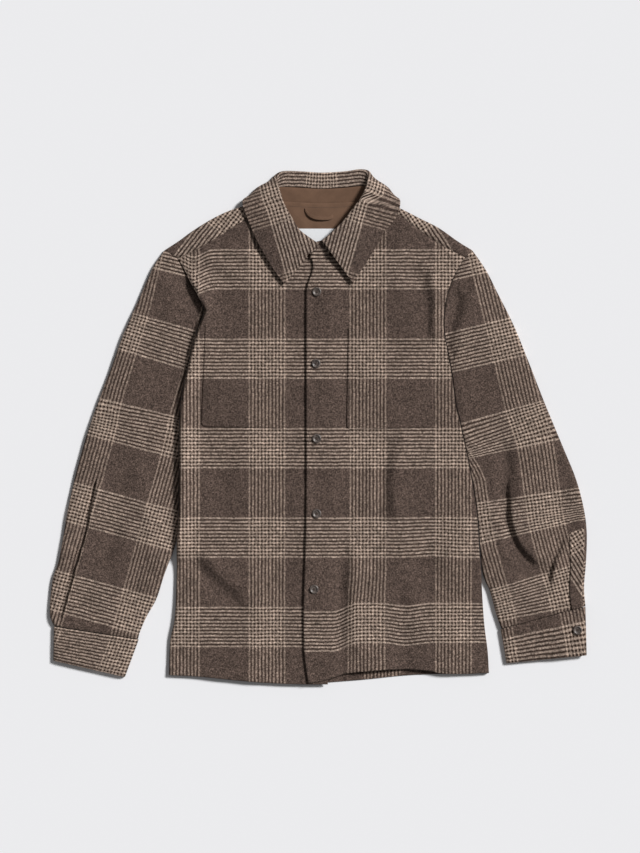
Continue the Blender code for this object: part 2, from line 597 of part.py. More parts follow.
def main():
    for old in list(bpy.data.objects):
        bpy.data.objects.remove(old)

    # Back and yoke, the layer underneath
    cloth("back_panel", [back_panel_grid()], CLOTH, "wool_check", UNDER)
    cloth("yoke", yoke_grids(), CLOTH, "wool_check", UNDER)

    # Fronts, each with a patch pocket made from its own points
    right = Panel(RIGHT_SIDE, RIGHT_ARMHOLE, RIGHT_OPENING, RIGHT_HEM, 255, RIGHT_YOKE_SEAM, RIGHT_NECKLINE)
    left = Panel(LEFT_SIDE, LEFT_ARMHOLE, LEFT_OPENING, LEFT_HEM, 256, LEFT_YOKE_SEAM, LEFT_NECKLINE)
    for name, panel, pocket, rise in (("right", right, POCKET_RIGHT, flat), ("left", left, POCKET_LEFT, lap)):
        grid = front_grid(panel, pocket, rise)
        cloth(f"front_{name}", [grid], CLOTH, "wool_check")
        rows = rows_between(grid, pocket.bottom, pocket.top)
        first = len(EDGE_SECTION)
        patch_points = moved_out(sub_grid(grid, rows, (first, first + 6)), SEAM + CLOTH)
        cloth(f"pocket_{name}", [patch_points], CLOTH, "wool_check")

    # Sleeves, cuffs and the left sleeve's placket
    right = Sleeve(RIGHT_SLEEVE_OUTER, RIGHT_SLEEVE_INNER, RIGHT_ARMHOLE, -1)
    left = Sleeve(LEFT_SLEEVE_OUTER, LEFT_SLEEVE_INNER, LEFT_ARMHOLE, 1)
    cloth("sleeve_right", [right.grid(SLEEVE_STEPS)], CLOTH, "wool_check")
    left_grid = left.grid(SLEEVE_STEPS)
    cloth("sleeve_left", [left_grid], CLOTH, "wool_check")
    placket = moved_out(sub_grid(left_grid, (len(left_grid) - 5, len(left_grid) - 1), (2, 6)), SEAM + CLOTH)
    cloth("sleeve_placket_left", [placket], CLOTH, "wool_check")
    cloth("cuff_right", [cuff_grid(CUFF_RIGHT, 5, closed_cuff_profile)], CUFF_WALL, "wool_check")
    cloth("cuff_left", [cuff_grid(CUFF_LEFT, 5, lapped_cuff_profile)], CUFF_WALL, "wool_check")

    # Collar, its stand, and what shows inside the neck
    falls, stands = collar_sections()
    cloth("collar", [falls], COLLAR_WALL, "wool_check", UNDER)
    cloth("collar_stand", [stands], STAND_WALL, "brown_twill", STAND)
    cloth("yoke_lining", [patch(-80, 86, 238, 333, 9, 9, LINING_LEVEL)], LINING_WALL, "brown_twill")
    cloth("neck_label", [patch(-36, 30, 268, 300, 5, 4, LABEL_LEVEL)], LABEL_WALL, "white_label")
    cloth("hanger_loop", [hanger_loop()], LINING_WALL, "brown_twill")

    for number, place in enumerate(BUTTONS):
        seat = top_level(*place) + lap(*place) + SEAM
        make_button(f"button_{number + 1}", place, seat)
    make_button("cuff_button_left", CUFF_BUTTON, TOP + 0.2 + CUFF_WALL + 0.5 + SEAM)

    centre_on_floor()


main()
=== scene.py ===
import math

import bmesh
import bpy
import numpy as np
from mathutils import Matrix, Vector


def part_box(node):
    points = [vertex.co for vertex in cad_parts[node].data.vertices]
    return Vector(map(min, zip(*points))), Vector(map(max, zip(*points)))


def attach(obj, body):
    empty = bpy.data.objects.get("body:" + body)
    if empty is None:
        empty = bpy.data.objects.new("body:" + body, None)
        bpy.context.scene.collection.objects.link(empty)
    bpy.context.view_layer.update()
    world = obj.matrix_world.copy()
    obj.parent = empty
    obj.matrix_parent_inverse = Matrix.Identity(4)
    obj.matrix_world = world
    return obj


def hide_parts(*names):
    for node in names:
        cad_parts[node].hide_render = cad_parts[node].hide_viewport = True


# A checked wool shirt-jacket laid flat on its back, seen from straight above.
# Sizes are in millimetres, measured from the middle of the photo: x to the right, y up to the collar.

mm = 0.001
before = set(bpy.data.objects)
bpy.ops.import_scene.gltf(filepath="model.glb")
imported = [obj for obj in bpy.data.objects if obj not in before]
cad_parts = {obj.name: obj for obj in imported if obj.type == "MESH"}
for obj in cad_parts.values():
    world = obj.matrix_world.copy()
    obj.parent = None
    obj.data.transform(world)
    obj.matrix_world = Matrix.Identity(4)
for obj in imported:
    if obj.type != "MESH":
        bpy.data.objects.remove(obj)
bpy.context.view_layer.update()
print("frame loaded")

cloth = {
    "wall": 2.0,  # brushed wool
    "pocketWall": 1.5,
    "collarWall": 2.3,
    "cuffWall": 2.4,
    "liningWall": 1.1,
    "standWall": 1.4,
    "labelWall": 0.7,
    "top": 7.8,  # upper face of the upper layer
    "lowest": 4.4,  # a trough stays clear of the layer underneath
    "sideLevel": 3.7,  # outermost line of a folded edge
    "edgeRadius": 9.0,
    "underRadius": 4.0,
    "collarLift": 2.8,  # the fall lies under the back yoke
    "seamGap": 0.35,  # between two sewn panels
    "sideGap": 1.0,  # sleeve to body
    "lapLift": 2.6,
    "hem": 18,
}

outline = {
    "rightSide": ((-230, -379), (-228, -327), (-221, -290), (-218, -222), (-218, -179), (-215, -135),
                  (-214, -76), (-214, -18), (-211, 40), (-202, 85), (-191, 131), (-175, 175)),
    "leftSide": ((257, -376), (255, -342), (250, -302), (247, -261), (245, -219), (242, -185), (238, -126),
                 (225, -51), (212, 9), (207, 29), (201, 74), (195, 108), (189, 140)),
    "rightArmhole": ((-175, 175), (-185, 198), (-196, 217), (-207, 240), (-217, 255), (-236, 268)),
    "leftArmhole": ((189, 140), (188, 164), (193, 198), (201, 221), (212, 243), (221, 256), (231, 268)),
    "rightShoulder": ((-236, 268), (-213, 283), (-194, 297), (-165, 315), (-137, 328), (-106, 337),
                      (-88, 340)),
    "leftShoulder": ((231, 268), (210, 281), (180, 302), (150, 317), (126, 329), (109, 336), (97, 340)),
    "rightYokeSeam": ((-217, 255), (-182, 271), (-155, 287), (-116, 312), (-87, 325)),
    "leftYokeSeam": ((221, 256), (180, 278), (150, 299), (117, 322), (93, 330)),
    "rightNeckline": ((-87, 325), (-79, 301), (-61, 278), (-38, 263), (-11, 256), (12, 257)),
    "leftNeckline": ((93, 330), (84, 306), (64, 283), (38, 266), (15, 258), (-14, 256)),
    "backNeckline": ((-88, 340), (-46, 337), (3, 336), (53, 337), (97, 340)),
    "rightHem": ((-230, -379), (-178, -382), (-128, -387), (-78, -391), (-29, -393), (12, -393)),
    "leftHem": ((257, -376), (193, -377), (164, -372), (134, -370), (96, -371), (43, -376), (8, -386),
                (-18, -391)),
    "backHem": ((-230, -379), (-178, -382), (-128, -386), (-79, -390), (-29, -391), (0, -391), (67, -386),
                (125, -380), (164, -378), (222, -378), (257, -376)),
    "rightOpening": ((12, -393), (12, 257)),
    "leftOpening": ((-18, -391), (-24, -347), (-25, -306), (-25, -264), (-23, -204), (-21, -112), (-21, 40),
                    (-21, 192), (-19, 214), (-12, 234), (-11, 246), (-14, 256)),
    "backYokeSeam": 214,
}

# Creases: path, reach across, height (a trough is negative) and lean. Seen along its path, a crease with a
# positive lean is steep on the left and wide on the right, and one with a negative lean the other way round.
creases = (
    (((-165, 268), (-118, 246)), 22, 2.2, 0.0),  # right shoulder and chest
    (((-152, 262), (-112, 236)), 8, -1.8, 0.0),
    (((-138, 276), (-98, 252)), 8, 1.5, 0.0),
    (((-172, 244), (-140, 216)), 9, -1.5, 0.0),
    (((153, 226), (160, 194), (161, 146)), 12, -3.4, 0.35),  # tuck beside the left armhole
    (((168, 230), (174, 196), (172, 142)), 10, 4.8, -0.45),
    (((210, 196), (203, 166), (192, 124)), 9, -3.3, 0.3),
    (((226, 196), (219, 162), (209, 122)), 12, 3.4, -0.35),
    (((158, 245), (161, 190), (153, 132)), 10, 1.6, 0.0),
    (((152, 190), (150, 120)), 20, 1.2, 0.0),
    (((104, -30), (96, -66), (97, -100), (92, -136)), 11, -3.6, 0.15),  # left front
    (((118, -40), (112, -86), (114, -128)), 12, 3.2, -0.2),
    (((80, -64), (78, -118)), 10, 1.4, 0.0),
    (((134, -60), (128, -170)), 24, 1.6, 0.0),
    (((38, -196), (31, -236), (34, -270), (25, -326)), 11, -3.2, 0.15),
    (((52, -204), (48, -262), (52, -330)), 13, 3.2, -0.2),
    (((84, -240), (70, -372)), 28, 2.2, 0.0),
    (((122, -250), (131, -372)), 13, -2.2, 0.0),
    (((146, -262), (156, -372)), 20, 2.8, 0.0),
    (((183, -148), (152, -206)), 15, -2.0, 0.0),
    (((214, -166), (190, -238)), 17, 2.0, 0.0),
    (((166, -212), (204, -258)), 13, -1.8, 0.0),
    (((205, -250), (196, -360)), 20, 1.8, 0.0),
    (((140, 20), (196, -30)), 16, -1.3, 0.0),
    (((-188, -212), (-170, -232), (-152, -254), (-134, -262)), 11, -3.5, 0.1),  # right front
    (((-172, -202), (-150, -226), (-122, -246)), 12, 3.0, -0.1),
    (((-150, -262), (-120, -276)), 9, -1.6, 0.0),
    (((-150, -205), (-96, -275)), 24, 1.2, 0.0),
    (((-120, 60), (-112, -120)), 30, 1.4, 0.0),
    (((-148, -60), (-140, -150)), 16, -1.7, 0.0),
    (((-70, -230), (-62, -360)), 16, -1.8, 0.0),
    (((-96, -280), (-104, -372)), 22, 2.0, 0.0),
    (((-262, 150), (-300, 20)), 26, 2.0, 0.0),  # right sleeve
    (((-238, 190), (-262, 110)), 12, -1.6, 0.0),
    (((-341, -92), (-354, -158), (-375, -229), (-389, -280)), 5, -3.4, 0.9),  # pleat: low beside a high fold
    (((-341, -92), (-354, -158), (-375, -229), (-389, -280)), 8, 3.2, -0.9),
    (((-270, -150), (-318, -232)), 13, -1.8, 0.0),
    (((-312, -168), (-330, -214)), 11, -3.0, 0.0),
    (((-294, -160), (-304, -220)), 13, 1.8, 0.0),
    (((-262, -214), (-300, -262)), 10, -2.2, 0.0),
    (((-280, -60), (-262, -150)), 18, 1.6, 0.0),
    (((262, 150), (300, 0)), 26, 1.8, 0.0),  # left sleeve
    (((281, -34), (284, -70), (287, -112)), 13, -3.2, 0.25),
    (((296, -40), (301, -74), (303, -106)), 12, 2.2, -0.2),
    (((286, -108), (288, -140), (294, -164), (304, -186), (314, -198)), 8, -3.8, 0.72),
    (((288, -100), (290, -140), (297, -164), (306, -184), (317, -196)), 11, 4.6, -0.72),
    (((306, -192), (322, -210), (340, -218)), 12, -2.6, 0.1),
    (((330, -60), (335, -150)), 24, 1.8, 0.0),
    (((266, -50), (267, -140), (283, -196)), 11, 1.8, 0.0),
    (((290, -212), (332, -226)), 14, -3.0, 0.0),
    (((368, -182), (356, -206), (351, -230)), 5, -3.2, 0.7),
    (((370, -180), (358, -206), (353, -230)), 7, 2.6, -0.6),
    (((296, -240), (330, -272)), 15, 1.8, 0.0),
)

# Where sleeve and body meet, the right sleeve dips below the raised edge of the chest, and on the left
# the chest dips a little below the sleeve. Columns as above.
besideBody = {
    "rightSleeve": (((-206, 232), (-192, 200), (-180, 174), (-194, 131), (-205, 85), (-214, 40), (-217, -18),
                     (-217, -130), (-219, -170)), 24, -4.0, 0.0),
    "rightFront": (((-188, 214), (-171, 173), (-187, 131), (-199, 85), (-208, 40), (-211, -18), (-212, -135),
                    (-215, -185)), 15, 8.8, 0.0),
    "leftSleeve": (((206, 222), (199, 165), (202, 120), (211, 74), (217, 29), (234, -51), (247, -126),
                    (253, -190)), 11, 0.7, 0.0),
    "leftFront": (((206, 226), (191, 175), (189, 140), (195, 108), (201, 74), (207, 29), (213, 5), (226, -51),
                   (238, -126), (245, -200)), 10, -0.9, 0.0),
}


def evenly(start, end, count):
    return [start + (end - start) * k / (count - 1) for k in range(count)]


def smoothStep(value):
    value = np.clip(value, 0, 1)
    return value * value * (3 - 2 * value)


def curveThrough(*parts):  # smooth through each part's points, with a corner where parts meet
    fine = []
    for part in parts:
        points = [np.asarray(p, float) for p in part]
        ends = [2 * points[0] - points[1]] + points + [2 * points[-1] - points[-2]]
        for a, b, c, d in zip(ends, ends[1:], ends[2:], ends[3:]):
            for t in evenly(0, 1, 13)[:-1]:
                fine.append(0.5 * (2 * b + (c - a) * t + (2 * a - 5 * b + 4 * c - d) * t * t
                                   + (3 * b - a - 3 * c + d) * t ** 3))
    return np.array(fine + [parts[-1][-1]], float)


def curveLength(curve):
    return np.concatenate([[0], np.cumsum(np.linalg.norm(np.diff(curve, axis=0), axis=1))])


def alongCurve(curve, shares):
    length = curveLength(curve)
    shares = np.asarray(shares, float)
    return np.stack([np.interp(shares * length[-1], length, axis) for axis in curve.T], axis=-1)


def xAtHeight(curve, y):
    rows = curve if curve[0, 1] < curve[-1, 1] else curve[::-1]
    return np.interp(y, rows[:, 1], rows[:, 0])


underFall = {"right": -164, "left": 168, "low": 268, "over": 44}


def liftAt(x, y):  # the collar's fall lies under the back yoke and lifts what lies above it
    rightStep, leftStep = x - underFall["right"], underFall["left"] - x
    across = smoothStep(rightStep / underFall["over"]) * smoothStep(leftStep / underFall["over"])
    return cloth["collarLift"] * across * smoothStep((y - underFall["low"]) / underFall["over"])


def hump(distance, reach):
    return np.exp(-(distance / reach) ** 2)


def creaseAt(x, y, table):
    total = np.zeros(np.shape(x))
    for path, reach, height, lean in table:
        nearest = np.full(np.shape(x), 1e9)
        side = np.zeros(np.shape(x))
        for (x0, y0), (x1, y1) in zip(path, path[1:]):
            dx, dy = x1 - x0, y1 - y0
            share = np.clip(((x - x0) * dx + (y - y0) * dy) / (dx * dx + dy * dy), 0, 1)
            offX, offY = x - x0 - dx * share, y - y0 - dy * share
            away = np.hypot(offX, offY)
            closer = away < nearest
            side = np.where(closer, np.sign(dx * offY - dy * offX), side)
            nearest = np.where(closer, away, nearest)
        wide = reach * (1 - lean * side)
        total += height * hump(nearest, wide)
    return total


# Loose wool never lies quite even: a few long waves with no common direction.
rng = np.random.default_rng(7)
unevenness = {"waves": 14, "shortest": 34, "longest": 120, "lengthToHeight": 300}
lengths, turns, phases = (rng.uniform(low, high, unevenness["waves"]) for low, high in (
    (unevenness["shortest"], unevenness["longest"]), (0, math.pi), (0, 6.3)))
waves = [(2 * math.pi / length * math.cos(turn), 2 * math.pi / length * math.sin(turn), phase,
          length / unevenness["lengthToHeight"]) for length, turn, phase in zip(lengths, turns, phases)]


def unevenAt(x, y):
    return sum(size * np.sin(kx * x + ky * y + phase) for kx, ky, phase, size in waves)


def topLevel(x, y, extra=()):  # the square root keeps the level above the lowest one without a kink
    above = cloth["top"] + creaseAt(x, y, creases + extra) + unevenAt(x, y) - cloth["lowest"]
    return cloth["lowest"] + (above + np.sqrt(above * above + 0.5)) / 2 + liftAt(x, y)


openingLine = curveThrough(outline["leftOpening"])
lap = {"from": 14, "over": 26, "wave": 2.2, "waveAt": 95, "waveReach": 55, "waveTop": -330, "waveOver": 45,
       "curl": 1.6, "curlOver": 13}


def lapAt(x, y):  # the left front rises where it lies on the right one, and its hem lifts in a wave
    nearHem = smoothStep((lap["waveTop"] - y) / lap["waveOver"])
    wave = lap["wave"] * hump(x - lap["waveAt"], lap["waveReach"]) * nearHem
    curl = lap["curl"] * (1 - smoothStep((x - xAtHeight(openingLine, y)) / lap["curlOver"]))
    return cloth["lapLift"] * (1 - smoothStep((x - lap["from"]) / lap["over"])) + wave + curl


def noLap(x, y):
    return np.zeros(np.shape(x))


# From the middle of the photo to the frame's own origin (the solid back ends 1.1 below its yoke seam)
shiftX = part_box("back_panel")[0][0] * 1000 - outline["rightSide"][0][0]
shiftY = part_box("back_panel")[1][1] * 1000 - (outline["backYokeSeam"] - 1.1)


def meshFrom(work, name):
    mesh = bpy.data.meshes.new(name)
    work.to_mesh(mesh)
    work.free()
    return mesh


def placed(name, data):
    piece = bpy.data.objects.new(name, data)
    bpy.context.scene.collection.objects.link(piece)
    return piece


def onBody(piece, finish, slotName, nodes=()):  # it rides on the one body, in place of its own CAD nodes
    piece.data.materials.append(finish)
    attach(piece, "root")
    if nodes:
        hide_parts(*nodes)


def declareSheet(flat, grids):
    area = 0.0  # of the cloth's own outer face
    for points, _ in grids:
        side, up = points[:, 1:] - points[:, :-1], points[1:] - points[:-1]
        area += np.linalg.norm(np.cross(side[:-1], up[:, :-1]), axis=2).sum() * 1e-6


# Cloth from grids of (points, uv): laid, sewn where they meet, turned the right way, thickened inwards.
# Its highest faces look up if looksUp is true, or its lowest ones where fromBelow is true too.
def clothPiece(name, nodes, flat, grids, wall, finish, slotName, looksUp=True, fromBelow=False):
    work = bmesh.new()
    uvLayer = work.loops.layers.uv.new("weave")
    for points, uv in grids:
        rows, columns = points.shape[:2]
        made = bmesh.ops.create_grid(work, x_segments=columns - 1, y_segments=rows - 1, size=1)
        place = {}
        for vertex in made["verts"]:
            column = round((vertex.co.x + 1) / 2 * (columns - 1))
            row = round((vertex.co.y + 1) / 2 * (rows - 1))
            place[vertex] = (row, column)
            x, y, z = points[row, column]
            vertex.co = ((x + shiftX) * mm, (y + shiftY) * mm, z * mm)
        for face in {f for v in made["verts"] for f in v.link_faces}:
            for loop in face.loops:
                loop[uvLayer].uv = uv[place[loop.vert]] * mm
    bmesh.ops.remove_doubles(work, verts=work.verts, dist=0.00002)
    bmesh.ops.recalc_face_normals(work, faces=work.faces)
    byHeight = sorted(work.faces, key=lambda f: f.calc_center_median().z)
    tenth = len(byHeight) // 10 + 1
    voters = byHeight[:tenth] if fromBelow else byHeight[-tenth:]
    if (sum(f.normal.z * f.calc_area() for f in voters) > 0) != looksUp:
        bmesh.ops.reverse_faces(work, faces=work.faces)
    piece = placed(name, meshFrom(work, name))
    piece.data.shade_smooth()
    thicken = piece.modifiers.new("wall", "SOLIDIFY")
    thicken.thickness = wall * mm
    thicken.offset = -1
    soften = piece.modifiers.new("soft edge", "BEVEL")
    soften.width = wall * 0.28 * mm
    soften.segments = 2
    soften.limit_method = "ANGLE"
    soften.angle_limit = math.radians(55)
    onBody(piece, finish, slotName, nodes)
    declareSheet(flat, grids)


def makePanel(side):
    part = {key: outline[side + key] for key in ("Side", "Armhole", "Opening", "Hem", "YokeSeam", "Neckline")}
    return {"side": curveThrough(part["Side"]), "armhole": curveThrough(part["Armhole"]),
            "far": curveThrough(part["Opening"]), "hem": curveThrough(part["Hem"]),
            "top": curveThrough(part["YokeSeam"], part["Neckline"]), "armpit": part["Armhole"][0][1],
            "hemY": part["Side"][0][1], "topY": part["YokeSeam"][0][1]}


def mixed(a, b, share):
    return a * (1 - share) + b * share


def sideAt(panel, y):  # the outer edge: side seam up to the armpit, armhole above it
    return np.where(y <= panel["armpit"], xAtHeight(panel["side"], y), xAtHeight(panel["armhole"], y))


panelBend = {"hemReach": 110, "topFrom": 158, "armpitFade": 16}


def panelAt(panel, u, y):  # side and far edge joined straight, bent to follow hem and top edge close to them
    def ends(level):
        sideX = sideAt(panel, level)
        low, high = panel["far"][[0, -1], 1]
        farY = low + (high - low) * (level - panel["hemY"]) / (panel["topY"] - panel["hemY"])
        return np.stack([sideX, level], -1), np.stack([xAtHeight(panel["far"], farY), farY], -1)

    share = u[..., None]
    byHem = (1 - smoothStep((y - panel["hemY"]) / panelBend["hemReach"]))[..., None]
    topFrom = panelBend["topFrom"]
    byTop = smoothStep((y - topFrom) / (panel["topY"] - topFrom))[..., None]
    hemBend = alongCurve(panel["hem"], u) - mixed(*ends(np.full(y.shape, panel["hemY"], float)), share)
    topBend = alongCurve(panel["top"], u) - mixed(*ends(np.full(y.shape, panel["topY"], float)), share)
    place = mixed(*ends(y), share) + hemBend * byHem + topBend * byTop
    return place[..., 0], place[..., 1]


def foldShares(steps, start):  # how much of the full height cloth has at each step in from a folded edge
    shares = start + (1 - start) * np.sqrt(1 - (1 - steps / steps[-1]) ** 2)
    shares[0] = 0.0
    return shares


edgeSteps = np.array([0.0, 0.0, 0.3, 0.8, 1.6, 2.7, 4.1, 5.7, 7.3, cloth["edgeRadius"]])
underSteps = np.array([0.0, 0.0, 0.5, 1.4, 2.6, cloth["underRadius"]])
edgeShares, underShares = foldShares(edgeSteps, 0.3), foldShares(underSteps, 0.35)
flushShares = foldShares(edgeSteps, 0.85)  # where sleeve and body touch without a gap


def roundedEdge(distance, reach, drop):  # how far a cut or turned edge falls away near its end
    near = np.clip(1 - distance / reach, 0, 1)
    return drop * (1 - np.sqrt(1 - near ** 2))


def frontLevel(x, y, rise, extra=()):
    return topLevel(x, y, extra) + rise(x, y)


def frontGrid(front, extra):
    panel, radius, shares, hem = front["panel"], front["edge"], front["shares"], cloth["hem"]
    levels = [panel["hemY"] + d for d in (0, 0.6, 1.4, 2.6, 5, 9, 13)]
    levels += [panel["hemY"] + hem + d for d in (-1.6, -0.6, 0, 0.6, 1.6)]
    levels += evenly(panel["hemY"] + hem + 5, panel["topY"] - 7, 152)
    levels += [panel["topY"] - d for d in (4.2, 2.4, 1.2, 0.4, 0)]
    levels = np.array(sorted(set(levels + [panel["armpit"] + d for d in (0, 5, 10, 16)])))
    width = np.abs(xAtHeight(panel["far"], levels) - sideAt(panel, levels))[:, None]
    folded = (1 - smoothStep((levels - panel["armpit"]) / panelBend["armpitFade"]))[:, None]
    inner = np.array([3.0, 1.8, 0.8, 0.0])
    start = edgeSteps[None] * radius / cloth["edgeRadius"] / width
    stop = 1 - inner[None] / width
    middle = np.linspace(start[:, -1], stop[:, 0], 58).T[:, 1:-1]
    u = np.concatenate([start, middle, stop], axis=1)
    share = np.ones_like(u)
    share[:, :10] = 1 - folded * (1 - shares[None])
    y = np.repeat(levels[:, None], u.shape[1], axis=1)
    x, yAt = panelAt(panel, u, y)
    fromHem = (levels - panel["hemY"])[:, None]
    fromTop = (panel["topY"] - levels)[:, None]
    fromFar, fromSide = (1 - u) * width, u * width
    top = frontLevel(x, yAt, front["rise"], extra)
    top = top + 0.45 * smoothStep((hem - fromHem) / 1.2) - 0.5 * hump(fromHem - hem, 1.1)
    top = top - roundedEdge(fromHem, 2.6, 1.1) - roundedEdge(fromFar, 2.6, 1.1)
    top = top - 1.1 * hump(fromTop, 1.8)
    top = top - 1.3 * hump(fromSide, 2.2) * (1 - folded)
    base = cloth["sideLevel"] + 0.15 + liftAt(x, yAt)
    return np.stack([x, yAt, base + (top - base) * share], -1), front["grain"](x, yAt)


pocketCut = {"corner": 9, "stitch": 5, "hem": 24, "flat": (136, 158)}


def pocketGrid(front, extra):
    panel, pocket, corner = front["panel"], front["pocket"], pocketCut["corner"]
    across = np.array([0, 0.008, 0.02, 0.04, 0.065, 0.095, 0.135] + evenly(0.18, 0.82, 22)
                      + [0.865, 0.905, 0.935, 0.96, 0.98, 0.992, 1])
    up = np.array([0, 0.006, 0.016, 0.03] + evenly(0.05, 0.95, 34) + [0.97, 0.984, 0.994, 1])
    a, b = np.meshgrid(across, up)
    bottomWide = abs(pocket["inner"][0] - pocket["outer"][0])
    fromSide = np.minimum(a, 1 - a) * bottomWide
    rounding = corner - np.sqrt(np.clip(corner ** 2 - (corner - fromSide) ** 2, 0, None))
    cut = np.where(fromSide < corner, rounding, 0)
    low = pocket["bottom"] + cut
    y = low + (pocket["top"] - low) * b
    upShare = (y - pocket["bottom"]) / (pocket["top"] - pocket["bottom"])
    outer = mixed(pocket["outer"][0], pocket["outer"][1], upShare)
    inner = mixed(pocket["inner"][0], pocket["inner"][1], upShare)
    sideX, farX = xAtHeight(panel["side"], y), xAtHeight(panel["far"], y)
    u = (mixed(outer, inner, a) - sideX) / (farX - sideX)
    x, yAt = panelAt(panel, u, y)
    fromEdge = np.minimum(np.minimum(a, 1 - a) * bottomWide, (y - low) + 0.3 * cut)
    level = frontLevel(x, yAt, front["rise"], extra) + cloth["seamGap"] + cloth["pocketWall"]
    fromTop = (1 - b) * (pocket["top"] - pocket["bottom"])
    level = level - roundedEdge(fromEdge, 2.4, 1.0) - 0.35 * hump(fromEdge - pocketCut["stitch"], 1.3)
    level = level - roundedEdge(fromTop, 2.4, 0.9) - 0.35 * hump(fromTop - pocketCut["hem"], 1.4)
    level = level + 0.5 * hump(fromEdge - 14, 16) * smoothStep(fromEdge / 10)
    return np.stack([x, yAt, level], -1), front["grain"](x, yAt)


def backGrid(panels, toCloth):
    right, left = panels
    topY = outline["backYokeSeam"] - cloth["seamGap"]
    hem = curveThrough(outline["backHem"])
    rows = (0, 1, 3, cloth["hem"] - 1, cloth["hem"], cloth["hem"] + 1)
    levels = sorted(set([right["hemY"] + d for d in rows] + evenly(-354, topY, 64)
                        + [p["armpit"] + d for p in panels for d in (0, 5, 10, 16)]))
    y = np.array(levels)[:, None]
    sides = []
    for panel, inwards in ((right, 1), (left, -1)):
        folded = 1 - smoothStep((y - panel["armpit"]) / panelBend["armpitFade"])
        x = sideAt(panel, y) + inwards * underSteps[None]
        z = (cloth["sideLevel"] - 0.15) * folded * (1 - underShares[None])
        sides.append((x, z))
    (xr, zr), (xl, zl) = sides
    inner = np.linspace(xr[:, -1], xl[:, -1], 42).T[:, 1:-1]
    x = np.concatenate([xr, inner, xl[:, ::-1]], axis=1)
    z = np.concatenate([zr, np.zeros_like(inner), zl[:, ::-1]], axis=1)
    byHem = 1 - smoothStep((y - right["hemY"]) / panelBend["hemReach"])
    yAt = y + byHem * (np.interp(x, hem[:, 0], hem[:, 1]) - right["hemY"])
    points = np.stack([x, yAt, z + liftAt(x, yAt)], -1)
    return points, toCloth(x, yAt)


def turnedCloth(x, y, centre, turn):
    dx, dy, cos, sin = x - centre[0], y - centre[1], math.cos(turn), math.sin(turn)
    return np.stack([dx * cos + dy * sin, dy * cos - dx * sin], -1)


def mirroredCloth(x, y, fold, centre):  # folded over at the shoulder, so that stripes cross at centre
    (x0, y0), (x1, y1) = fold
    return turnedCloth(x, y, centre, 2 * math.atan2(y1 - y0, x1 - x0)) * (1, -1)


def grainMap(line, x, y):  # how far along a grain line, and how far to one side of it
    start, step = line[:-1], np.diff(line, axis=0)
    long = np.linalg.norm(step, axis=1)
    before = np.concatenate([[0], np.cumsum(long)[:-1]])
    low, high = np.zeros(len(step)), np.ones(len(step))
    low[0], high[-1] = -9, 9
    offX, offY = x[..., None] - start[:, 0], y[..., None] - start[:, 1]
    share = np.clip((offX * step[:, 0] + offY * step[:, 1]) / long ** 2, low, high)
    away = np.hypot(offX - share * step[:, 0], offY - share * step[:, 1])
    best = away.argmin(axis=-1)[..., None]
    along = np.take_along_axis(before + share * long, best, -1)[..., 0]
    side = np.take_along_axis((step[:, 1] * offX - step[:, 0] * offY) / long, best, -1)[..., 0]
    return along, side


def sleeveAt(sleeve, w, t):
    start = alongCurve(sleeve["outer"], w)[:, None, :]
    end = alongCurve(sleeve["inner"], w)[:, None, :] + np.array([sleeve["away"] * cloth["sideGap"], 0.0])
    armhole = sleeve["armhole"]
    bow = alongCurve(armhole, t) - mixed(armhole[0], armhole[-1], t[..., None])
    near = np.maximum(0, 1 - w / 0.06)[:, None, None]
    shift = np.array([sleeve["away"] * 0.9, -0.5]) * cloth["seamGap"] * near
    byCap = (1 - smoothStep(w / 0.3))[:, None, None]
    place = mixed(start, end, t[..., None]) + bow * byCap + shift * (1 - t[..., None])
    return place[..., 0], place[..., 1]


def sleeveGrid(sleeve, toCloth, innerRadius, extra, shares):
    w = np.array([0, 0.0015, 0.004, 0.008] + evenly(0.014, 0.985, 140) + [0.992, 0.997, 1])
    wide = np.linalg.norm(alongCurve(sleeve["outer"], w) - alongCurve(sleeve["inner"], w), axis=1)[:, None]
    start = edgeSteps[None] / wide
    stop = edgeSteps[None] * innerRadius / cloth["edgeRadius"] / wide
    middle = np.linspace(start[:, -1], 1 - stop[:, -1], 62).T[:, 1:-1]
    over = np.concatenate([start, middle, 1 - stop[:, ::-1]], axis=1)
    low = underSteps[None, 1:] / wide
    flat = np.repeat(np.array([[0.85, 0.68, 0.5, 0.32, 0.15]]), len(w), axis=0)
    under = np.concatenate([1 - low, flat, low[:, ::-1]], axis=1)
    t = np.concatenate([over, under, over[:, :1]], axis=1)
    x, y = sleeveAt(sleeve, w, t)
    overShare = np.tile(np.concatenate([edgeShares, np.ones(middle.shape[1]), edgeShares[::-1]]), (len(w), 1))
    # They touch down to where the sleeve leaves the body.
    touching = smoothStep((y[:, over.shape[1] - 1] + 205) / 30)[:, None]
    overShare[:, -10:] = mixed(overShare[:, -10:], shares[::-1][None], touching)
    underShare = np.concatenate([underShares[1:], np.ones(5), underShares[:0:-1]])
    level = cloth["sideLevel"]
    fromSeam = (w * curveLength(sleeve["outer"])[-1])[:, None]
    fromCuff = ((1 - w) * curveLength(sleeve["outer"])[-1])[:, None]
    top = topLevel(x, y, extra) - 1.2 * hump(fromSeam, 2.0) - 1.0 * hump(fromCuff, 2.0)
    z = np.empty_like(x)
    n = over.shape[1]
    z[:, :n] = level + (top[:, :n] - level) * overShare
    z[:, n:-1] = level * (1 - underShare)
    z[:, -1] = z[:, 0]
    return np.stack([x, y, z], -1), toCloth(x, y)


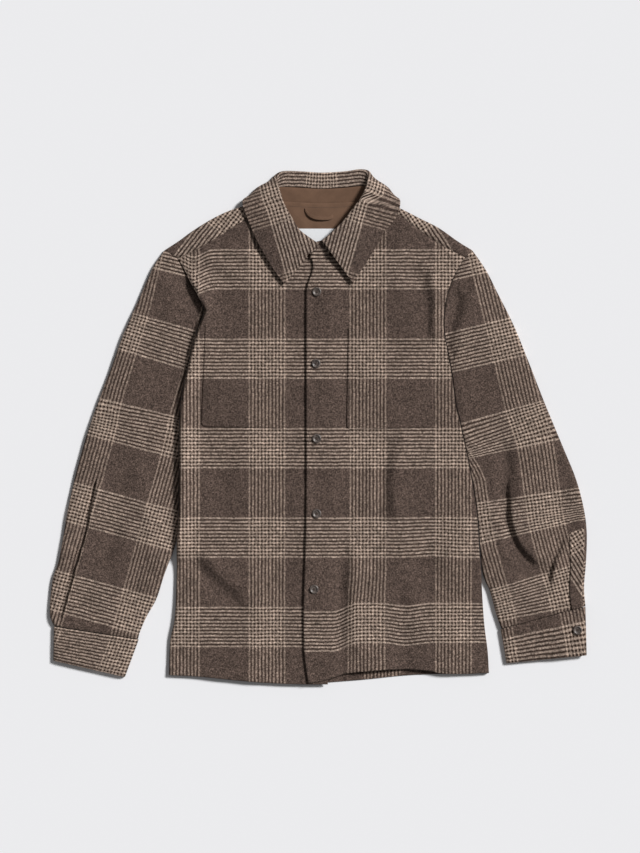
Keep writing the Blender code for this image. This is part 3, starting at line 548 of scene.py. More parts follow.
def cuffGrid(corners, profile, toCloth, columns=22):
    (topOut, topIn), (openOut, openIn) = [[np.array(p, float) for p in pair] for pair in corners]
    long = np.linalg.norm(openIn - topIn)
    shares = np.array([0.3 / long, 1.2 / long, 3 / long] + evenly(6 / long, 1 - 5 / long, columns - 6)
                      + [1 - 2.6 / long, 1 - 1.0 / long, 1.0])
    rows, cloths = [], []
    for share in shares:
        outer, inner = mixed(topOut, openOut, share), mixed(topIn, openIn, share)
        wide = np.linalg.norm(outer - inner)
        t, z = profile(wide)
        place = mixed(outer, inner, t[:, None])
        dip = 0.9 * math.exp(-(share * long / 2) ** 2) + float(roundedEdge((1 - share) * long, 2.6, 1.0))
        dip += 0.4 * math.exp(-(((1 - share) * long - 5) / 1.3) ** 2)
        z = np.where(z > cloth["sideLevel"], z - dip * np.clip((z - cloth["sideLevel"]) / 3, 0, 1), z)
        rows.append(np.column_stack([place, z]))
        cloths.append(toCloth((1 - t) * wide, np.full(t.shape, share * long)))
    return np.array(rows), np.array(cloths)


def closedCuff(wide):
    height, side = cloth["top"] + 0.6, cloth["sideLevel"]
    start = edgeSteps / wide
    over = np.concatenate([start, np.linspace(start[-1], 1 - start[-1], 22)[1:-1], 1 - start[::-1]])
    share = np.concatenate([edgeShares, np.ones(20), edgeShares[::-1]])
    low = underSteps[1:] / wide
    t = np.concatenate([over, 1 - low, [0.66, 0.33], low[::-1], over[:1]])
    puff = 0.5 * np.sin(np.pi * np.clip(over, 0, 1)) ** 0.5
    z = np.concatenate([side + (height + puff - side) * share, side * (1 - underShares[1:]), [0, 0],
                        side * (1 - underShares[:0:-1]), [side]])
    return t, z


def lappedCuff(wide):  # starts under its own end, goes round underneath and laps over the start
    lower, side = cloth["top"] + 0.2, cloth["sideLevel"]
    upper = lower + cloth["cuffWall"] + 0.6
    knots = [(0.3, lower), (0.2, lower), (0.12, lower - 0.1), (0.05, lower - 1.0), (0.012, lower - 3.0),
             (0.0, side), (0.012, 1.0), (0.04, 0.0), (0.33, 0.0), (0.66, 0.0)]
    knots += [(1 - d / wide, side * (1 - s)) for d, s in zip(underSteps[:0:-1], underShares[:0:-1])]
    knots += [(1 - d / wide, side + (lower - side) * s) for d, s in zip(edgeSteps[1:], edgeShares[1:])]
    knots += [(0.86, lower + 0.1), (0.76, lower + 0.2), (0.64, lower + 0.3), (0.52, lower + 0.6),
              (0.45, upper - 1.3), (0.4, upper - 0.4), (0.34, upper), (0.28, upper + 0.1),
              (0.22, upper + 0.1), (0.15, upper), (0.08, upper), (0.03, upper - 0.05), (0.0, upper - 0.3),
              (-0.02, upper - 0.7), (-0.028, upper - 1.2)]
    return np.array(knots).T


collarRows = (  # neck seam, height of the seam to the stand, roll, middle of the fall, its edge
    ((-9, 259, 8.6), 10.6, (-2, 277, 14.5), (-28, 247, 15.6), (-54, 216, 12.4)),
    ((-32, 265, 8.6), 10.8, (-17, 287, 15.6), (-41, 259, 16.6), (-65, 230, 13.0)),
    ((-54, 279, 8.8), 11.2, (-32, 299, 16.6), (-56, 276, 17.6), (-79, 252, 13.8)),
    ((-71, 300, 8.8), 11.6, (-44, 319, 17.2), (-71, 302, 18.0), (-97, 284, 14.6)),
    ((-82, 321, 8.8), 11.6, (-55, 339, 17.0), (-85, 329, 17.6), (-110, 315, 14.4)),
    ((-83, 332, 8.6), 11.6, (-59, 352, 15.8), (-93, 349, 14.6), (-118, 340, 13.2)),
    ((-80, 342.6, 7.2), 10.6, (-64, 369, 12.6), (-97, 362, 6.6), (-109, 347, 1.4)),
    ((-74, 341.5, 6.0), 8.4, (-66, 381, 8.0), (-83, 364, 2.0), (-90, 325, 0.0)),
    ((-62, 340.5, 5.4), 6.6, (-56, 388, 4.2), (-66, 358, 0.0), (-68, 321, 0.0)),
    ((-30, 338.4, 5.4), 6.2, (-30, 388, 3.0), (-32, 354, 0.0), (-34, 319, 0.0)),
    ((3, 337.2, 5.4), 6.2, (3, 386, 3.0), (3, 353, 0.0), (3, 319, 0.0)),
    ((38, 338.4, 5.4), 6.2, (38, 388, 3.0), (40, 354, 0.0), (42, 319, 0.0)),
    ((70, 340.5, 5.4), 6.6, (61, 391, 4.2), (70, 358, 0.0), (74, 321, 0.0)),
    ((83, 342, 6.0), 8.4, (73, 387, 9.6), (90, 366, 2.0), (97, 325, 0.0)),
    ((89, 342.8, 7.2), 10.6, (72, 373, 15.6), (104, 363, 6.6), (115, 347, 1.4)),
    ((92, 335, 8.6), 11.6, (68, 359, 19.2), (100, 352, 15.2), (122, 340, 14.3)),
    ((90, 325, 8.8), 11.6, (61, 345, 20.8), (92, 333, 17.4), (116, 317, 15.0)),
    ((77, 305, 8.8), 11.6, (49, 329, 21.0), (73, 313, 18.2), (98, 294, 14.8)),
    ((58, 284, 8.8), 11.2, (35, 311, 20.4), (58, 291, 18.2), (84, 270, 14.2)),
    ((35, 269, 8.8), 10.8, (18, 294, 18.6), (44, 270, 17.6), (68, 244, 14.4)),
    ((13, 262, 8.8), 10.6, (2, 281, 16.6), (26, 250, 17.0), (50, 217, 14.4)),
)


# Past the shoulders the leaves' grain runs straight down to the tips.
collar = {
    "flat": (560, 98), "stretch": 1.14, "leafFrom": 102, "leafBlend": 24,
    "leafGrain": (
        {"down": (0.278, -0.961), "inwards": (0.961, 0.278),
         "rowFrom": (-63.8, 267.5), "columnFrom": (-50.2, 234.1)},
        {"down": (-0.270, -0.963), "inwards": (-0.963, 0.270),
         "rowFrom": (58, 283), "columnFrom": (45.6, 234.1)}),
}
leafShares = (0, 0.012, 0.03, 0.055, 0.09, 0.14, 0.2, 0.27, 0.34, 0.42, 0.5, 0.58, 0.67, 0.76, 0.86)


def collarGrids(count=190):
    shares = np.linspace(0, 1, count)
    tracks = {key: alongCurve(curveThrough([row[k] for row in collarRows]), shares)
              for key, k in (("neck", 0), ("roll", 2), ("middle", 3), ("edge", 4))}
    seamZ = alongCurve(curveThrough([(row[1], 0.0) for row in collarRows]), shares)[:, 0]
    fall, fallCloth, stand, standCloth = [], [], [], []
    rollLength = curveLength(tracks["roll"])
    back = np.interp(3, tracks["roll"][60:130, 0], rollLength[60:130])
    for k in range(count):
        neck, roll, middle, edge = (tracks[key][k] for key in ("neck", "roll", "middle", "edge"))
        toEnd = float(smoothStep(min(k, count - 1 - k) / 16))
        seam = mixed(roll, neck, 0.97 - 0.47 * toEnd)  # at the front ends the wool goes down to the neck
        seam[2] = seamZ[k] * toEnd + (neck[2] + 0.4) * (1 - toEnd)
        behind = (middle + seam) / 2 - roll
        behind /= np.linalg.norm(behind)
        spread = middle - seam
        spread -= (spread @ behind) * behind
        radius = float(np.clip(0.45 * np.linalg.norm(spread), 2.8, 3.5))
        spread /= np.linalg.norm(spread)
        centre = roll + behind * radius
        bend = [centre + radius * (math.sin(a) * spread - math.cos(a) * behind)
                for a in evenly(math.pi / 2, -math.pi / 2, 11)]
        leaf = alongCurve(curveThrough((edge, middle, bend[0])), leafShares)
        strip = [mixed(bend[-1], seam, s) for s in (0.2, 0.4, 0.6, 0.8, 1.0)]
        line = np.array(list(leaf) + bend + strip)
        line[:, 2] = np.maximum(line[:, 2], 0.0)
        across = curveLength(line)
        across = across[len(leaf) + 5] - across
        along = rollLength[k] - back
        fall.append(line)
        onRoll = np.stack([np.full(len(line), along * collar["stretch"]), across], -1)
        leafGrain = collar["leafGrain"][0 if along < 0 else 1]
        grain, inwards = np.array(leafGrain["down"]), np.array(leafGrain["inwards"])
        down = (line[:, :2] - leafGrain["columnFrom"]) @ grain - wool["columnHalf"]
        repeats = 2 * wool["columnEvery"]  # this far on, the leaf's columns meet those of the roll
        straight = np.stack([repeats + down if along > 0 else -repeats - down,
                             wool["rowHalf"] - (line[:, :2] - leafGrain["rowFrom"]) @ inwards], -1)
        onLeaf = float(smoothStep((abs(along) - collar["leafFrom"]) / collar["leafBlend"]))
        fallCloth.append(mixed(onRoll, straight, onLeaf))
        gap = (neck - seam) / np.linalg.norm(neck - seam) * 0.8
        strand = np.array([mixed(seam + gap, neck, s) for s in evenly(0, 1, 6)])
        stand.append(strand)
        standCloth.append(np.stack([np.full(6, along), curveLength(strand)], -1))
    return (np.array(fall), np.array(fallCloth)), (np.array(stand[10:-10]), np.array(standCloth[10:-10]))


def linearColour(hexValue):
    def channel(text):
        value = int(text, 16) / 255
        return value / 12.92 if value <= 0.04045 else ((value + 0.055) / 1.055) ** 2.4
    return (channel(hexValue[1:3]), channel(hexValue[3:5]), channel(hexValue[5:7]), 1.0)


def addNode(tree, kind, inputs=None, out=0, **settings):  # one node with its settings and links
    node = tree.nodes.new("ShaderNode" + kind)
    for key, value in settings.items():
        setattr(node, key, value)
    for key, value in (inputs or {}).items():
        if isinstance(value, bpy.types.NodeSocket):
            tree.links.new(value, node.inputs[key])
        else:
            node.inputs[key].default_value = value
    return node.outputs[out]


def newMaterial(name, roughness, constants):
    made = bpy.data.materials.new(name)
    made.use_nodes = True
    shader = made.node_tree.nodes["Principled BSDF"]
    shader.inputs["Roughness"].default_value = roughness
    for key, value in constants.items():
        shader.inputs[key].default_value = value
    return made, made.node_tree, shader


def combine(tree, kind, operation, *values, **settings):  # kind is Math or VectorMath
    return addNode(tree, kind, dict(enumerate(values)), operation=operation, **settings)


def addSurface(tree, shader, colour, bump=()):  # bump: strength, distance in metres, height
    tree.links.new(colour, shader.inputs["Base Color"])
    if bump:
        raised = addNode(tree, "Bump", dict(zip(("Strength", "Distance", "Height"), bump)))
        tree.links.new(raised, shader.inputs["Normal"])


def mixColours(tree, factor, a, b, mode="MIX"):
    node = tree.nodes.new("ShaderNodeMix")
    node.data_type, node.blend_type = "RGBA", mode
    for socket, value in ((node.inputs[0], factor), (node.inputs[6], a), (node.inputs[7], b)):
        if isinstance(value, bpy.types.NodeSocket):
            tree.links.new(value, socket)
        else:
            socket.default_value = value
    return node.outputs[2]


wool = {
    "ground": "#352923", "groundLight": "#6c5c54",  # brown heather
    "warpLight": "#b09b8c", "weftLight": "#b9a596", "dark": "#26170f",
    "pitch": 5.35,  # from one light stripe to the next, mm
    "rowEvery": 136.0, "rowHalf": 30.8,
    "columnEvery": 130.0, "columnHalf": 28.1,
    "yarn": 1.35,  # twill ribs, drawn about as coarse as the real ones
    "fleck": 1.8,  # lighter and darker fibre, mm
    "specks": ((1.3, 0.42, 1.44), (2.7, 0.72, 1.24)),  # tufts of the nap: size, darkest, lightest
}


def woolCheck():
    # Brushed woollen twill, woven in a district check: dry and matt, yarns of mixed fibres, a short soft nap.
    made, tree, shader = newMaterial("brushed wool check", 0.95, {
        "Sheen Weight": 0.12, "Sheen Roughness": 0.6, "Specular IOR Level": 0.12,
        "Sheen Tint": linearColour("#c9b8aa")})
    uv = addNode(tree, "UVMap", uv_map="weave")
    wobble = addNode(tree, "TexNoise", {"Vector": uv, "Scale": 55.0, "Detail": 2.0}, out=1)
    shifted = combine(tree, "VectorMath", "SUBTRACT", wobble, (0.5, 0.5, 0.5))
    shifted = combine(tree, "VectorMath", "MULTIPLY", shifted, (1.6, 1.6, 0.0))
    place = combine(tree, "VectorMath", "MULTIPLY", uv, (1000.0, 1000.0, 0.0))
    place = combine(tree, "VectorMath", "ADD", place, shifted)
    apart = tree.nodes.new("ShaderNodeSeparateXYZ")
    tree.links.new(place, apart.inputs[0])
    grain = addNode(tree, "TexNoise", {"Vector": uv, "Scale": 1000 / wool["fleck"], "Detail": 2.0,
                                       "Roughness": 0.65})
    patchy = addNode(tree, "TexNoise", {"Vector": uv, "Scale": 90.0, "Detail": 3.0})
    ragged = addNode(tree, "MapRange", {"Value": grain, 1: 0.25, 2: 0.75, 3: -0.5, 4: 0.5})
    heather = addNode(tree, "MapRange", {"Value": grain, 1: 0.3, 2: 0.7})
    ground = mixColours(tree, heather, linearColour(wool["ground"]), linearColour(wool["groundLight"]))
    yarns = []
    for axis, every, half, phase, light in (
            (0, wool["columnEvery"], wool["columnHalf"], 0.0, wool["warpLight"]),
            (1, wool["rowEvery"], wool["rowHalf"], math.pi, wool["weftLight"])):
        moved = combine(tree, "Math", "ADD", apart.outputs[axis], every / 2)
        moved = combine(tree, "Math", "FLOORED_MODULO", moved, every)
        centred = combine(tree, "Math", "SUBTRACT", moved, every / 2)
        away = combine(tree, "Math", "ABSOLUTE", centred)
        inside = addNode(tree, "MapRange", {"Value": away, 1: half + 0.5, 2: half - 0.5})
        turn = combine(tree, "Math", "MULTIPLY_ADD", centred, 2 * math.pi / wool["pitch"], phase)
        stripe = combine(tree, "Math", "COSINE", turn)
        stripe = combine(tree, "Math", "ADD", stripe, ragged)
        stripe = addNode(tree, "MapRange", {"Value": stripe, 1: -0.45, 2: 0.45})
        striped = mixColours(tree, stripe, linearColour(wool["dark"]), linearColour(light))
        yarns.append(mixColours(tree, inside, ground, striped))
    sumUv = combine(tree, "Math", "ADD", apart.outputs[0], apart.outputs[1])
    rib = combine(tree, "Math", "MULTIPLY", sumUv, 2 * math.pi / wool["yarn"])
    rib = combine(tree, "Math", "SINE", rib)
    share = addNode(tree, "MapRange", {"Value": rib, 1: -1.0, 2: 1.0, 3: 0.35, 4: 0.75})
    worn = addNode(tree, "MapRange", {"Value": patchy, 1: 0.3, 2: 0.7, 3: -0.13, 4: 0.13})
    share = combine(tree, "Math", "ADD", share, worn, use_clamp=True)
    colour = mixColours(tree, share, yarns[0], yarns[1])
    for size, dark, light in wool["specks"]:
        cell = combine(tree, "VectorMath", "SNAP", place, (size, size, 1.0))
        tuft = addNode(tree, "TexWhiteNoise", {"Vector": cell}, noise_dimensions="2D")
        speck = addNode(tree, "MapRange", {"Value": tuft, 3: dark, 4: light})
        colour = mixColours(tree, 1.0, colour, speck, "MULTIPLY")
    nap = combine(tree, "Math", "MULTIPLY_ADD", rib, 0.25, grain)
    addSurface(tree, shader, colour, (0.3, 0.0005, nap))
    return made


def brownTwill():
    # Brushed cotton twill lining: plain brown, fine diagonal ribs, slightly smoother than the wool.
    made, tree, shader = newMaterial("brown cotton twill", 0.85, {
        "Sheen Weight": 0.1, "Specular IOR Level": 0.2})
    uv = addNode(tree, "UVMap", uv_map="weave")
    ribs = addNode(tree, "TexWave", {"Vector": uv, "Scale": 320.0, "Distortion": 1.2, "Detail": 1.0,
                                     "Detail Scale": 2.0}, out=1, bands_direction="DIAGONAL")
    soft = addNode(tree, "TexNoise", {"Vector": uv, "Scale": 60.0, "Detail": 3.0})
    colour = mixColours(tree, ribs, linearColour("#5c4536"), linearColour("#775b48"))
    tone = addNode(tree, "MapRange", {"Value": soft, 1: 0.3, 2: 0.7, 3: 0.86, 4: 1.1})
    colour = mixColours(tree, 1.0, colour, tone, "MULTIPLY")
    addSurface(tree, shader, colour, (0.35, 0.0003, ribs))
    return made


def wovenLabel():
    # Satin-woven polyester tape: white, smooth, faint crosswise threads.
    made, tree, shader = newMaterial("white satin tape", 0.45, {"Sheen Weight": 0.1})
    uv = addNode(tree, "UVMap", uv_map="weave")
    threads = addNode(tree, "TexWave", {"Vector": uv, "Scale": 900.0, "Distortion": 0.4}, out=1,
                      bands_direction="Y")
    colour = mixColours(tree, threads, linearColour("#dfe1e4"), linearColour("#f2f3f5"))
    addSurface(tree, shader, colour, (0.2, 0.0001, threads))
    return made


def hornButtons():
    # Dyed horn-look polyester, turned and tumbled: dark grey brown with cloudy streaks and a soft shine.
    made, tree, shader = newMaterial("brown horn polyester", 0.38, {
        "Coat Weight": 0.15, "Coat Roughness": 0.3})
    where = addNode(tree, "TexCoord", out=3)
    cloud = addNode(tree, "TexNoise", {"Vector": where, "Scale": 240.0, "Detail": 4.0, "Distortion": 1.6})
    tone = addNode(tree, "MapRange", {"Value": cloud, 1: 0.35, 2: 0.65})
    colour = mixColours(tree, tone, linearColour("#332c29"), linearColour("#6b615b"))
    addSurface(tree, shader, colour, (0.1, 0.0002, cloud))
    return made


def sewingThread(name, hexValue):
    # Spun polyester sewing thread: two plies twisted, nearly matt.
    made, tree, shader = newMaterial(name, 0.7, {"Sheen Weight": 0.1})
    where = addNode(tree, "TexCoord", out=3)
    ply = addNode(tree, "TexNoise", {"Vector": where, "Scale": 3000.0, "Detail": 1.0})
    tone = addNode(tree, "MapRange", {"Value": ply, 1: 0.3, 2: 0.7, 3: 0.8, 4: 1.15})
    addSurface(tree, shader, mixColours(tree, 1.0, linearColour(hexValue), tone, "MULTIPLY"))
    return made


inWool = (woolCheck(), "wool_check")  # each finish with its slot
inTwill = (brownTwill(), "brown_twill")
inSatin = (wovenLabel(), "white_label")
hornFinish, brownThread = hornButtons(), sewingThread("brown sewing thread", "#4a3a31")
whiteThread = sewingThread("white sewing thread", "#d8dade")
print("materials ready")

# The layer underneath: back and yoke
rightPanel, leftPanel = makePanel("right"), makePanel("left")


def plainGrain(x0, y0):  # columns centred on x0, rows on y0
    return lambda x, y: np.stack([x - x0, y - y0], -1)


# Middle of a row, the same in every panel, and of one column in each
grainAt = {"row": -33.7, "back": 95, "right": -80.6, "left": 73}
backGrain = plainGrain(grainAt["back"], grainAt["row"])
clothPiece("wool_back", ["back_panel"], (492, 606), [backGrid((rightPanel, leftPanel), backGrain)],
           cloth["wall"], *inWool, looksUp=False, fromBelow=True)

yoke = {"flat": (470, 200), "rightCross": (-138, 318), "leftCross": (135, 313), "seamLength": 150}


def yokeGrids():
    across = np.array([0, 0.004, 0.012, 0.03, 0.055, 0.09, 0.14, 0.2, 0.28,
                       0.37, 0.47, 0.57, 0.67, 0.77, 0.85, 0.91, 0.95, 0.975, 0.99, 1])
    shares = np.linspace(0, 1, 46)
    strips, folds = [], []
    for side in ("right", "left"):
        shoulder = outline[side + "Shoulder"]
        start = alongCurve(curveThrough(shoulder), shares)
        end = alongCurve(curveThrough(outline[side + "YokeSeam"]), shares)
        long = np.linalg.norm(start - end, axis=1)
        end = end + (start - end) / long[:, None] * cloth["seamGap"]
        place = mixed(start[None], end[None], across[:, None, None])
        x, y = place[..., 0], place[..., 1]
        distance = across[:, None] * long[None]
        share = 0.3 * smoothStep(across[:, None] / 0.012) + 0.7 * np.sqrt(
            1 - (1 - np.clip(distance / cloth["edgeRadius"], 0, 1)) ** 2)
        share[0] = 0
        base = cloth["sideLevel"] + liftAt(x, y)
        top = topLevel(x, y) - 1.1 * hump((1 - across[:, None]) * long[None], 1.8)
        top = top - 1.0 * hump(shares[None] * yoke["seamLength"], 2.2)
        strips.append((np.stack([x, y, base + (top - base) * share], -1),
                       mirroredCloth(x, y, (shoulder[0], shoulder[-1]), yoke[side + "Cross"])))
        folds.append(start)
    right, left = folds
    neck = alongCurve(curveThrough(outline["backNeckline"]), np.linspace(0, 1, 34))[1:-1]
    tops = np.concatenate([right, neck, left[::-1]])
    folded = np.concatenate([np.ones(46), np.zeros(len(neck)), np.ones(46)])
    armholes, seamY = (rightPanel["armhole"], leftPanel["armhole"]), outline["backYokeSeam"]
    x0, x1 = (xAtHeight(armhole, seamY) for armhole in armholes)
    ends = np.stack([np.linspace(x0, x1, len(tops)), np.full(len(tops), float(seamY))], -1)
    down = np.array([0, 0.004, 0.012, 0.026, 0.045, 0.08, 0.13, 0.2, 0.3, 0.42, 0.55, 0.7, 0.85, 0.96, 1])
    place = mixed(tops[None], ends[None], down[:, None, None])
    x, y = place[..., 0], place[..., 1]
    count = np.arange(x.shape[1])
    x = np.clip(x, xAtHeight(armholes[0], y) + 0.3 * count, xAtHeight(armholes[1], y) - 0.3 * count[::-1])
    z = cloth["sideLevel"] * (1 - smoothStep(down / 0.05))[:, None] * folded[None] + liftAt(x, y)
    return strips + [(np.stack([x, y, z], -1), backGrain(x, y))]


clothPiece("wool_yoke", ["yoke"], yoke["flat"], yokeGrids(), cloth["wall"], *inWool,
           looksUp=False, fromBelow=True)


# Fronts and pockets
def rightGrain(x, y):  # rows sag towards the armhole
    sag = 11 * hump(x + 192, 17) * smoothStep((y - 165) / 40)
    return plainGrain(grainAt["right"], grainAt["row"])(x, y + sag)


def leftGrain(x, y):  # near the hem the rows follow its wave
    low = smoothStep((-215 - y) / 60)
    up = low * (13 * (smoothStep((x - 20) / 38) - 0.5) - 4.5 * hump(x - 130, 22))
    up = up + 2.5 * hump(x - 175, 30) * hump(y + 180, 40)
    across = x + 4 * low * hump(x - 60, 40)
    return plainGrain(grainAt["left"], grainAt["row"])(across, y - up)


fronts = {
    "right": {"panel": rightPanel, "rise": noLap, "grain": rightGrain, "flat": (248, 720),
              "edge": 4.5, "shares": edgeShares,
              "pocket": {"outer": (-181, -174), "inner": (-49, -52), "bottom": -0.5, "top": 154}},
    "left": {"panel": leftPanel, "rise": lapAt, "grain": leftGrain, "flat": (285, 720),
             "edge": 4, "shares": flushShares,
             "pocket": {"outer": (173, 170), "inner": (40, 43), "bottom": -1, "top": 151}},
}
for side, front in fronts.items():
    extra = (besideBody[side + "Front"],)
    clothPiece(f"wool_front_{side}", [f"front_{side}"], front["flat"], [frontGrid(front, extra)],
               cloth["wall"], *inWool)
    clothPiece(f"chest_pocket_{side}", [f"pocket_{side}"], pocketCut["flat"], [pocketGrid(front, extra)],
               cloth["pocketWall"], *inWool)
print("body ready")

# Sleeves: a tube each, its check straight down the upper arm
sleeves = {
    "right": {
        "outer": ((-236, 268), (-255, 239), (-278, 187), (-301, 135), (-319, 85), (-339, 33), (-356, -17),
                  (-374, -82), (-385, -134), (-397, -202), (-406, -230), (-410, -257), (-411, -288),
                  (-405, -304)),
        "inner": outline["rightSide"][:4:-1] + (  # along the body, then on its own
            (-219, -179), (-236, -226), (-248, -263), (-263, -290), (-273, -313), (-276, -324)),
        "grainLine": ((-198.5, 268), (-207.7, 229.6), (-224.4, 160.6), (-242.7, 99.8), (-263.9, 30.6),
                      (-275.1, -21.3), (-301.8, -117.7), (-355.2, -310.5)),
        "away": -1, "innerEdge": 13, "shares": edgeShares, "offset": 65,
        "rowsAt": ((0, -282), (300, 18), (500, 218))},
    "left": {
        "outer": ((231, 268), (240, 256), (255, 233), (270, 203), (294, 155), (315, 104), (342, 35),
                  (369, -30), (389, -79), (401, -123), (406, -161), (405, -205), (402, -245), (404, -274)),
        "inner": outline["leftSide"][:5:-1] + (
            (243, -185), (246, -219), (251, -237), (258, -252), (267, -285), (275, -308)),
        "grainLine": ((225, 258), (231, 233), (249, 159), (264, 98), (281, 25), (299, -32), (310, -106),
                      (319, -162), (344, -250), (353, -290)),
        "swallowed": (20, ((284, -44), (286, -135), (303, -184), (318, -240), (330, -300))),
        "away": 1, "innerEdge": 4, "shares": flushShares, "offset": -wool["columnHalf"],
        "rowsAt": ((0, -136), (136, 0), (272, 136), (404, 272), (524, 408))},
}


def sleeveGrain(sleeve):
    line = curveThrough(sleeve["grainLine"])

    def toCloth(x, y):
        along, side = grainMap(line, x, y)
        rows = np.array(sleeve["rowsAt"], float)
        v = np.interp(along, rows[:, 0], rows[:, 1]) + np.minimum(along - rows[0, 0], 0)
        v = v + np.maximum(along - rows[-1, 0], 0)
        u = sleeve["away"] * -side + sleeve["offset"]
        if "swallowed" in sleeve:  # a deep fold takes up cloth, so the columns beyond it lie closer
            wide, fold = sleeve["swallowed"]
            beyond = 1 - smoothStep((x - xAtHeight(np.array(fold, float), y)) / 14 + 0.5)
            u = u - wide * beyond * smoothStep((fold[0][1] + 25 - y) / 70)
        return np.stack([u, v], -1)
    return toCloth


tubes = {}
for side, sleeve in sleeves.items():
    tubes[side] = {"outer": curveThrough(sleeve["outer"]), "inner": curveThrough(sleeve["inner"]),
                   "armhole": curveThrough(outline[side + "Armhole"])[::-1], "away": sleeve["away"]}
    grid = sleeveGrid(tubes[side], sleeveGrain(sleeve), sleeve["innerEdge"], (besideBody[side + "Sleeve"],),
                      sleeve["shares"])
    clothPiece(f"wool_sleeve_{side}", [f"sleeve_{side}"], (350, 620), [grid], cloth["wall"], *inWool)

cuffs = {
    "right": {"corners": (((-405, -305), (-276, -325)), ((-406, -357), (-297, -382))), "profile": closedCuff,
              "toCloth": lambda s, v: np.stack([14.5 - s, v - wool["rowHalf"]], -1), "flat": (262, 62)},
    "left": {"corners": (((400, -275), (275, -309)), ((402, -349), (284, -361))), "profile": lappedCuff,
             "toCloth": lambda s, v: np.stack([s + 9.7, v - 45.8], -1), "flat": (310, 76)},
}
for side, cuff in cuffs.items():
    clothPiece(f"wool_cuff_{side}", [f"cuff_{side}"], cuff["flat"],
               [cuffGrid(cuff["corners"], cuff["profile"], cuff["toCloth"])], cloth["cuffWall"], *inWool)

placket = {"wall": 1.5, "flat": (28, 126), "across": (0.025, 0.17), "from": 0.79,
           "grainTurn": -58, "cross": (395, -169), "shift": (11, 14.3)}


def placketGrid():
    tube = tubes["left"]
    w = np.array([placket["from"] + (1 - placket["from"]) * k for k in evenly(0, 0.995, 44)])
    t = np.array(evenly(*placket["across"], 15))
    x, y = sleeveAt(tube, w, np.repeat(t[None], len(w), axis=0))
    wide = np.linalg.norm([x[:, -1] - x[:, 0], y[:, -1] - y[:, 0]], axis=0)[:, None]
    a = (t - t[0]) / (t[-1] - t[0])
    fromEdge = np.minimum(a, 1 - a)[None] * wide
    whole = np.linalg.norm(alongCurve(tube["outer"], w) - alongCurve(tube["inner"], w), axis=1)[:, None]
    share = 0.3 + 0.7 * np.sqrt(1 - (1 - np.clip(t[None] * whole / cloth["edgeRadius"], 0, 1)) ** 2)
    z = cloth["sideLevel"] + (topLevel(x, y) - cloth["sideLevel"]) * share
    z = z + cloth["seamGap"] + placket["wall"] - roundedEdge(fromEdge, 2.4, 1.0)
    turn = math.radians(placket["grainTurn"])
    return np.stack([x, y, z], -1), turnedCloth(x, y, placket["cross"], turn) + placket["shift"]


clothPiece("sleeve_placket", ["sleeve_placket_left"], placket["flat"], [placketGrid()],
           placket["wall"], *inWool)
print("sleeves and cuffs ready")

# Collar, stand and the inside of the neck
fallGrid, standGrid = collarGrids()
clothPiece("wool_collar", ["collar"], collar["flat"], [fallGrid], cloth["collarWall"], *inWool,
           looksUp=False, fromBelow=True)
clothPiece("twill_stand", ["collar_stand"], (420, 32), [standGrid], cloth["standWall"], *inTwill,
           fromBelow=True)

band = {"low": ((-16, 254), (16, 257)), "high": ((-5, 280), (4, 282)), "from": 0.5, "to": 14.2, "wall": 1.6,
        "width": 24, "flat": (34, 30)}
a, b = np.meshgrid(np.linspace(0, 1, 16), np.linspace(0, 1, 16))
low, high = (mixed(*np.array(band[edge]), a[..., None]) for edge in ("low", "high"))
place = mixed(low, high, b[..., None])
start = frontLevel(low[..., 0], low[..., 1], lapAt) + band["from"]
level = mixed(start, band["to"], smoothStep(b)) - roundedEdge(a * band["width"], 2.4, 1.0)
bandGrid = (np.dstack([place, level]), place - (grainAt["left"], grainAt["row"]))
clothPiece("wool_band_end", [], band["flat"], [bandGrid], band["wall"], *inWool)

lining = {"level": 4.4, "box": (-80, 86, 238, 333), "flat": (167, 107)}
label = {"level": 5.5, "box": (-36, 30, 268, 300), "flat": (66.5, 32.5),
         "inset": 1.6, "step": 2.6, "long": 1.7}  # its stitches
hanger = {"level": 5.9, "half": 2.6, "arch": 2.2, "flat": (50, 10.4),
          "line": ((-23, 329), (-18, 322), (-9, 317), (3, 315.5), (14, 316), (20, 319))}


def flatPatch(x0, x1, y0, y1, columns, rows, level, neck=None):
    x, y = np.meshgrid(np.linspace(x0, x1, columns), np.linspace(y0, y1, rows))
    if neck is not None:  # the upper edge follows the neck seam
        y = y0 + (y - y0) / (y1 - y0) * (np.interp(x, neck[:, 0], neck[:, 1]) + 1.6 - y0)
    return np.stack([x, y, level + liftAt(x, y)], -1), np.stack([x, y], -1)


neckSeam = curveThrough([row[0][:2] for row in collarRows[5:16]])
clothPiece("twill_lining", ["yoke_lining"], lining["flat"],
           [flatPatch(*lining["box"], 60, 34, lining["level"], neckSeam)], cloth["liningWall"], *inTwill)
clothPiece("blank_label", ["neck_label"], label["flat"], [flatPatch(*label["box"], 20, 12, label["level"])],
           cloth["labelWall"], *inSatin)
loop = alongCurve(curveThrough(hanger["line"]), np.linspace(0, 1, 40))
across = np.linspace(-hanger["half"], hanger["half"], 5)[:, None]
x, y = loop[None, :, 0] + 0 * across, loop[None, :, 1] + across
z = hanger["level"] + liftAt(x, y) + hanger["arch"] * np.sin(np.pi * np.linspace(0, 1, 40))[None]
loopGrid = (np.stack([x, y, z], -1), np.stack([x, y], -1))
clothPiece("twill_hanger_loop", ["hanger_loop"], hanger["flat"], [loopGrid], cloth["liningWall"], *inTwill)
print("collar and neck ready")

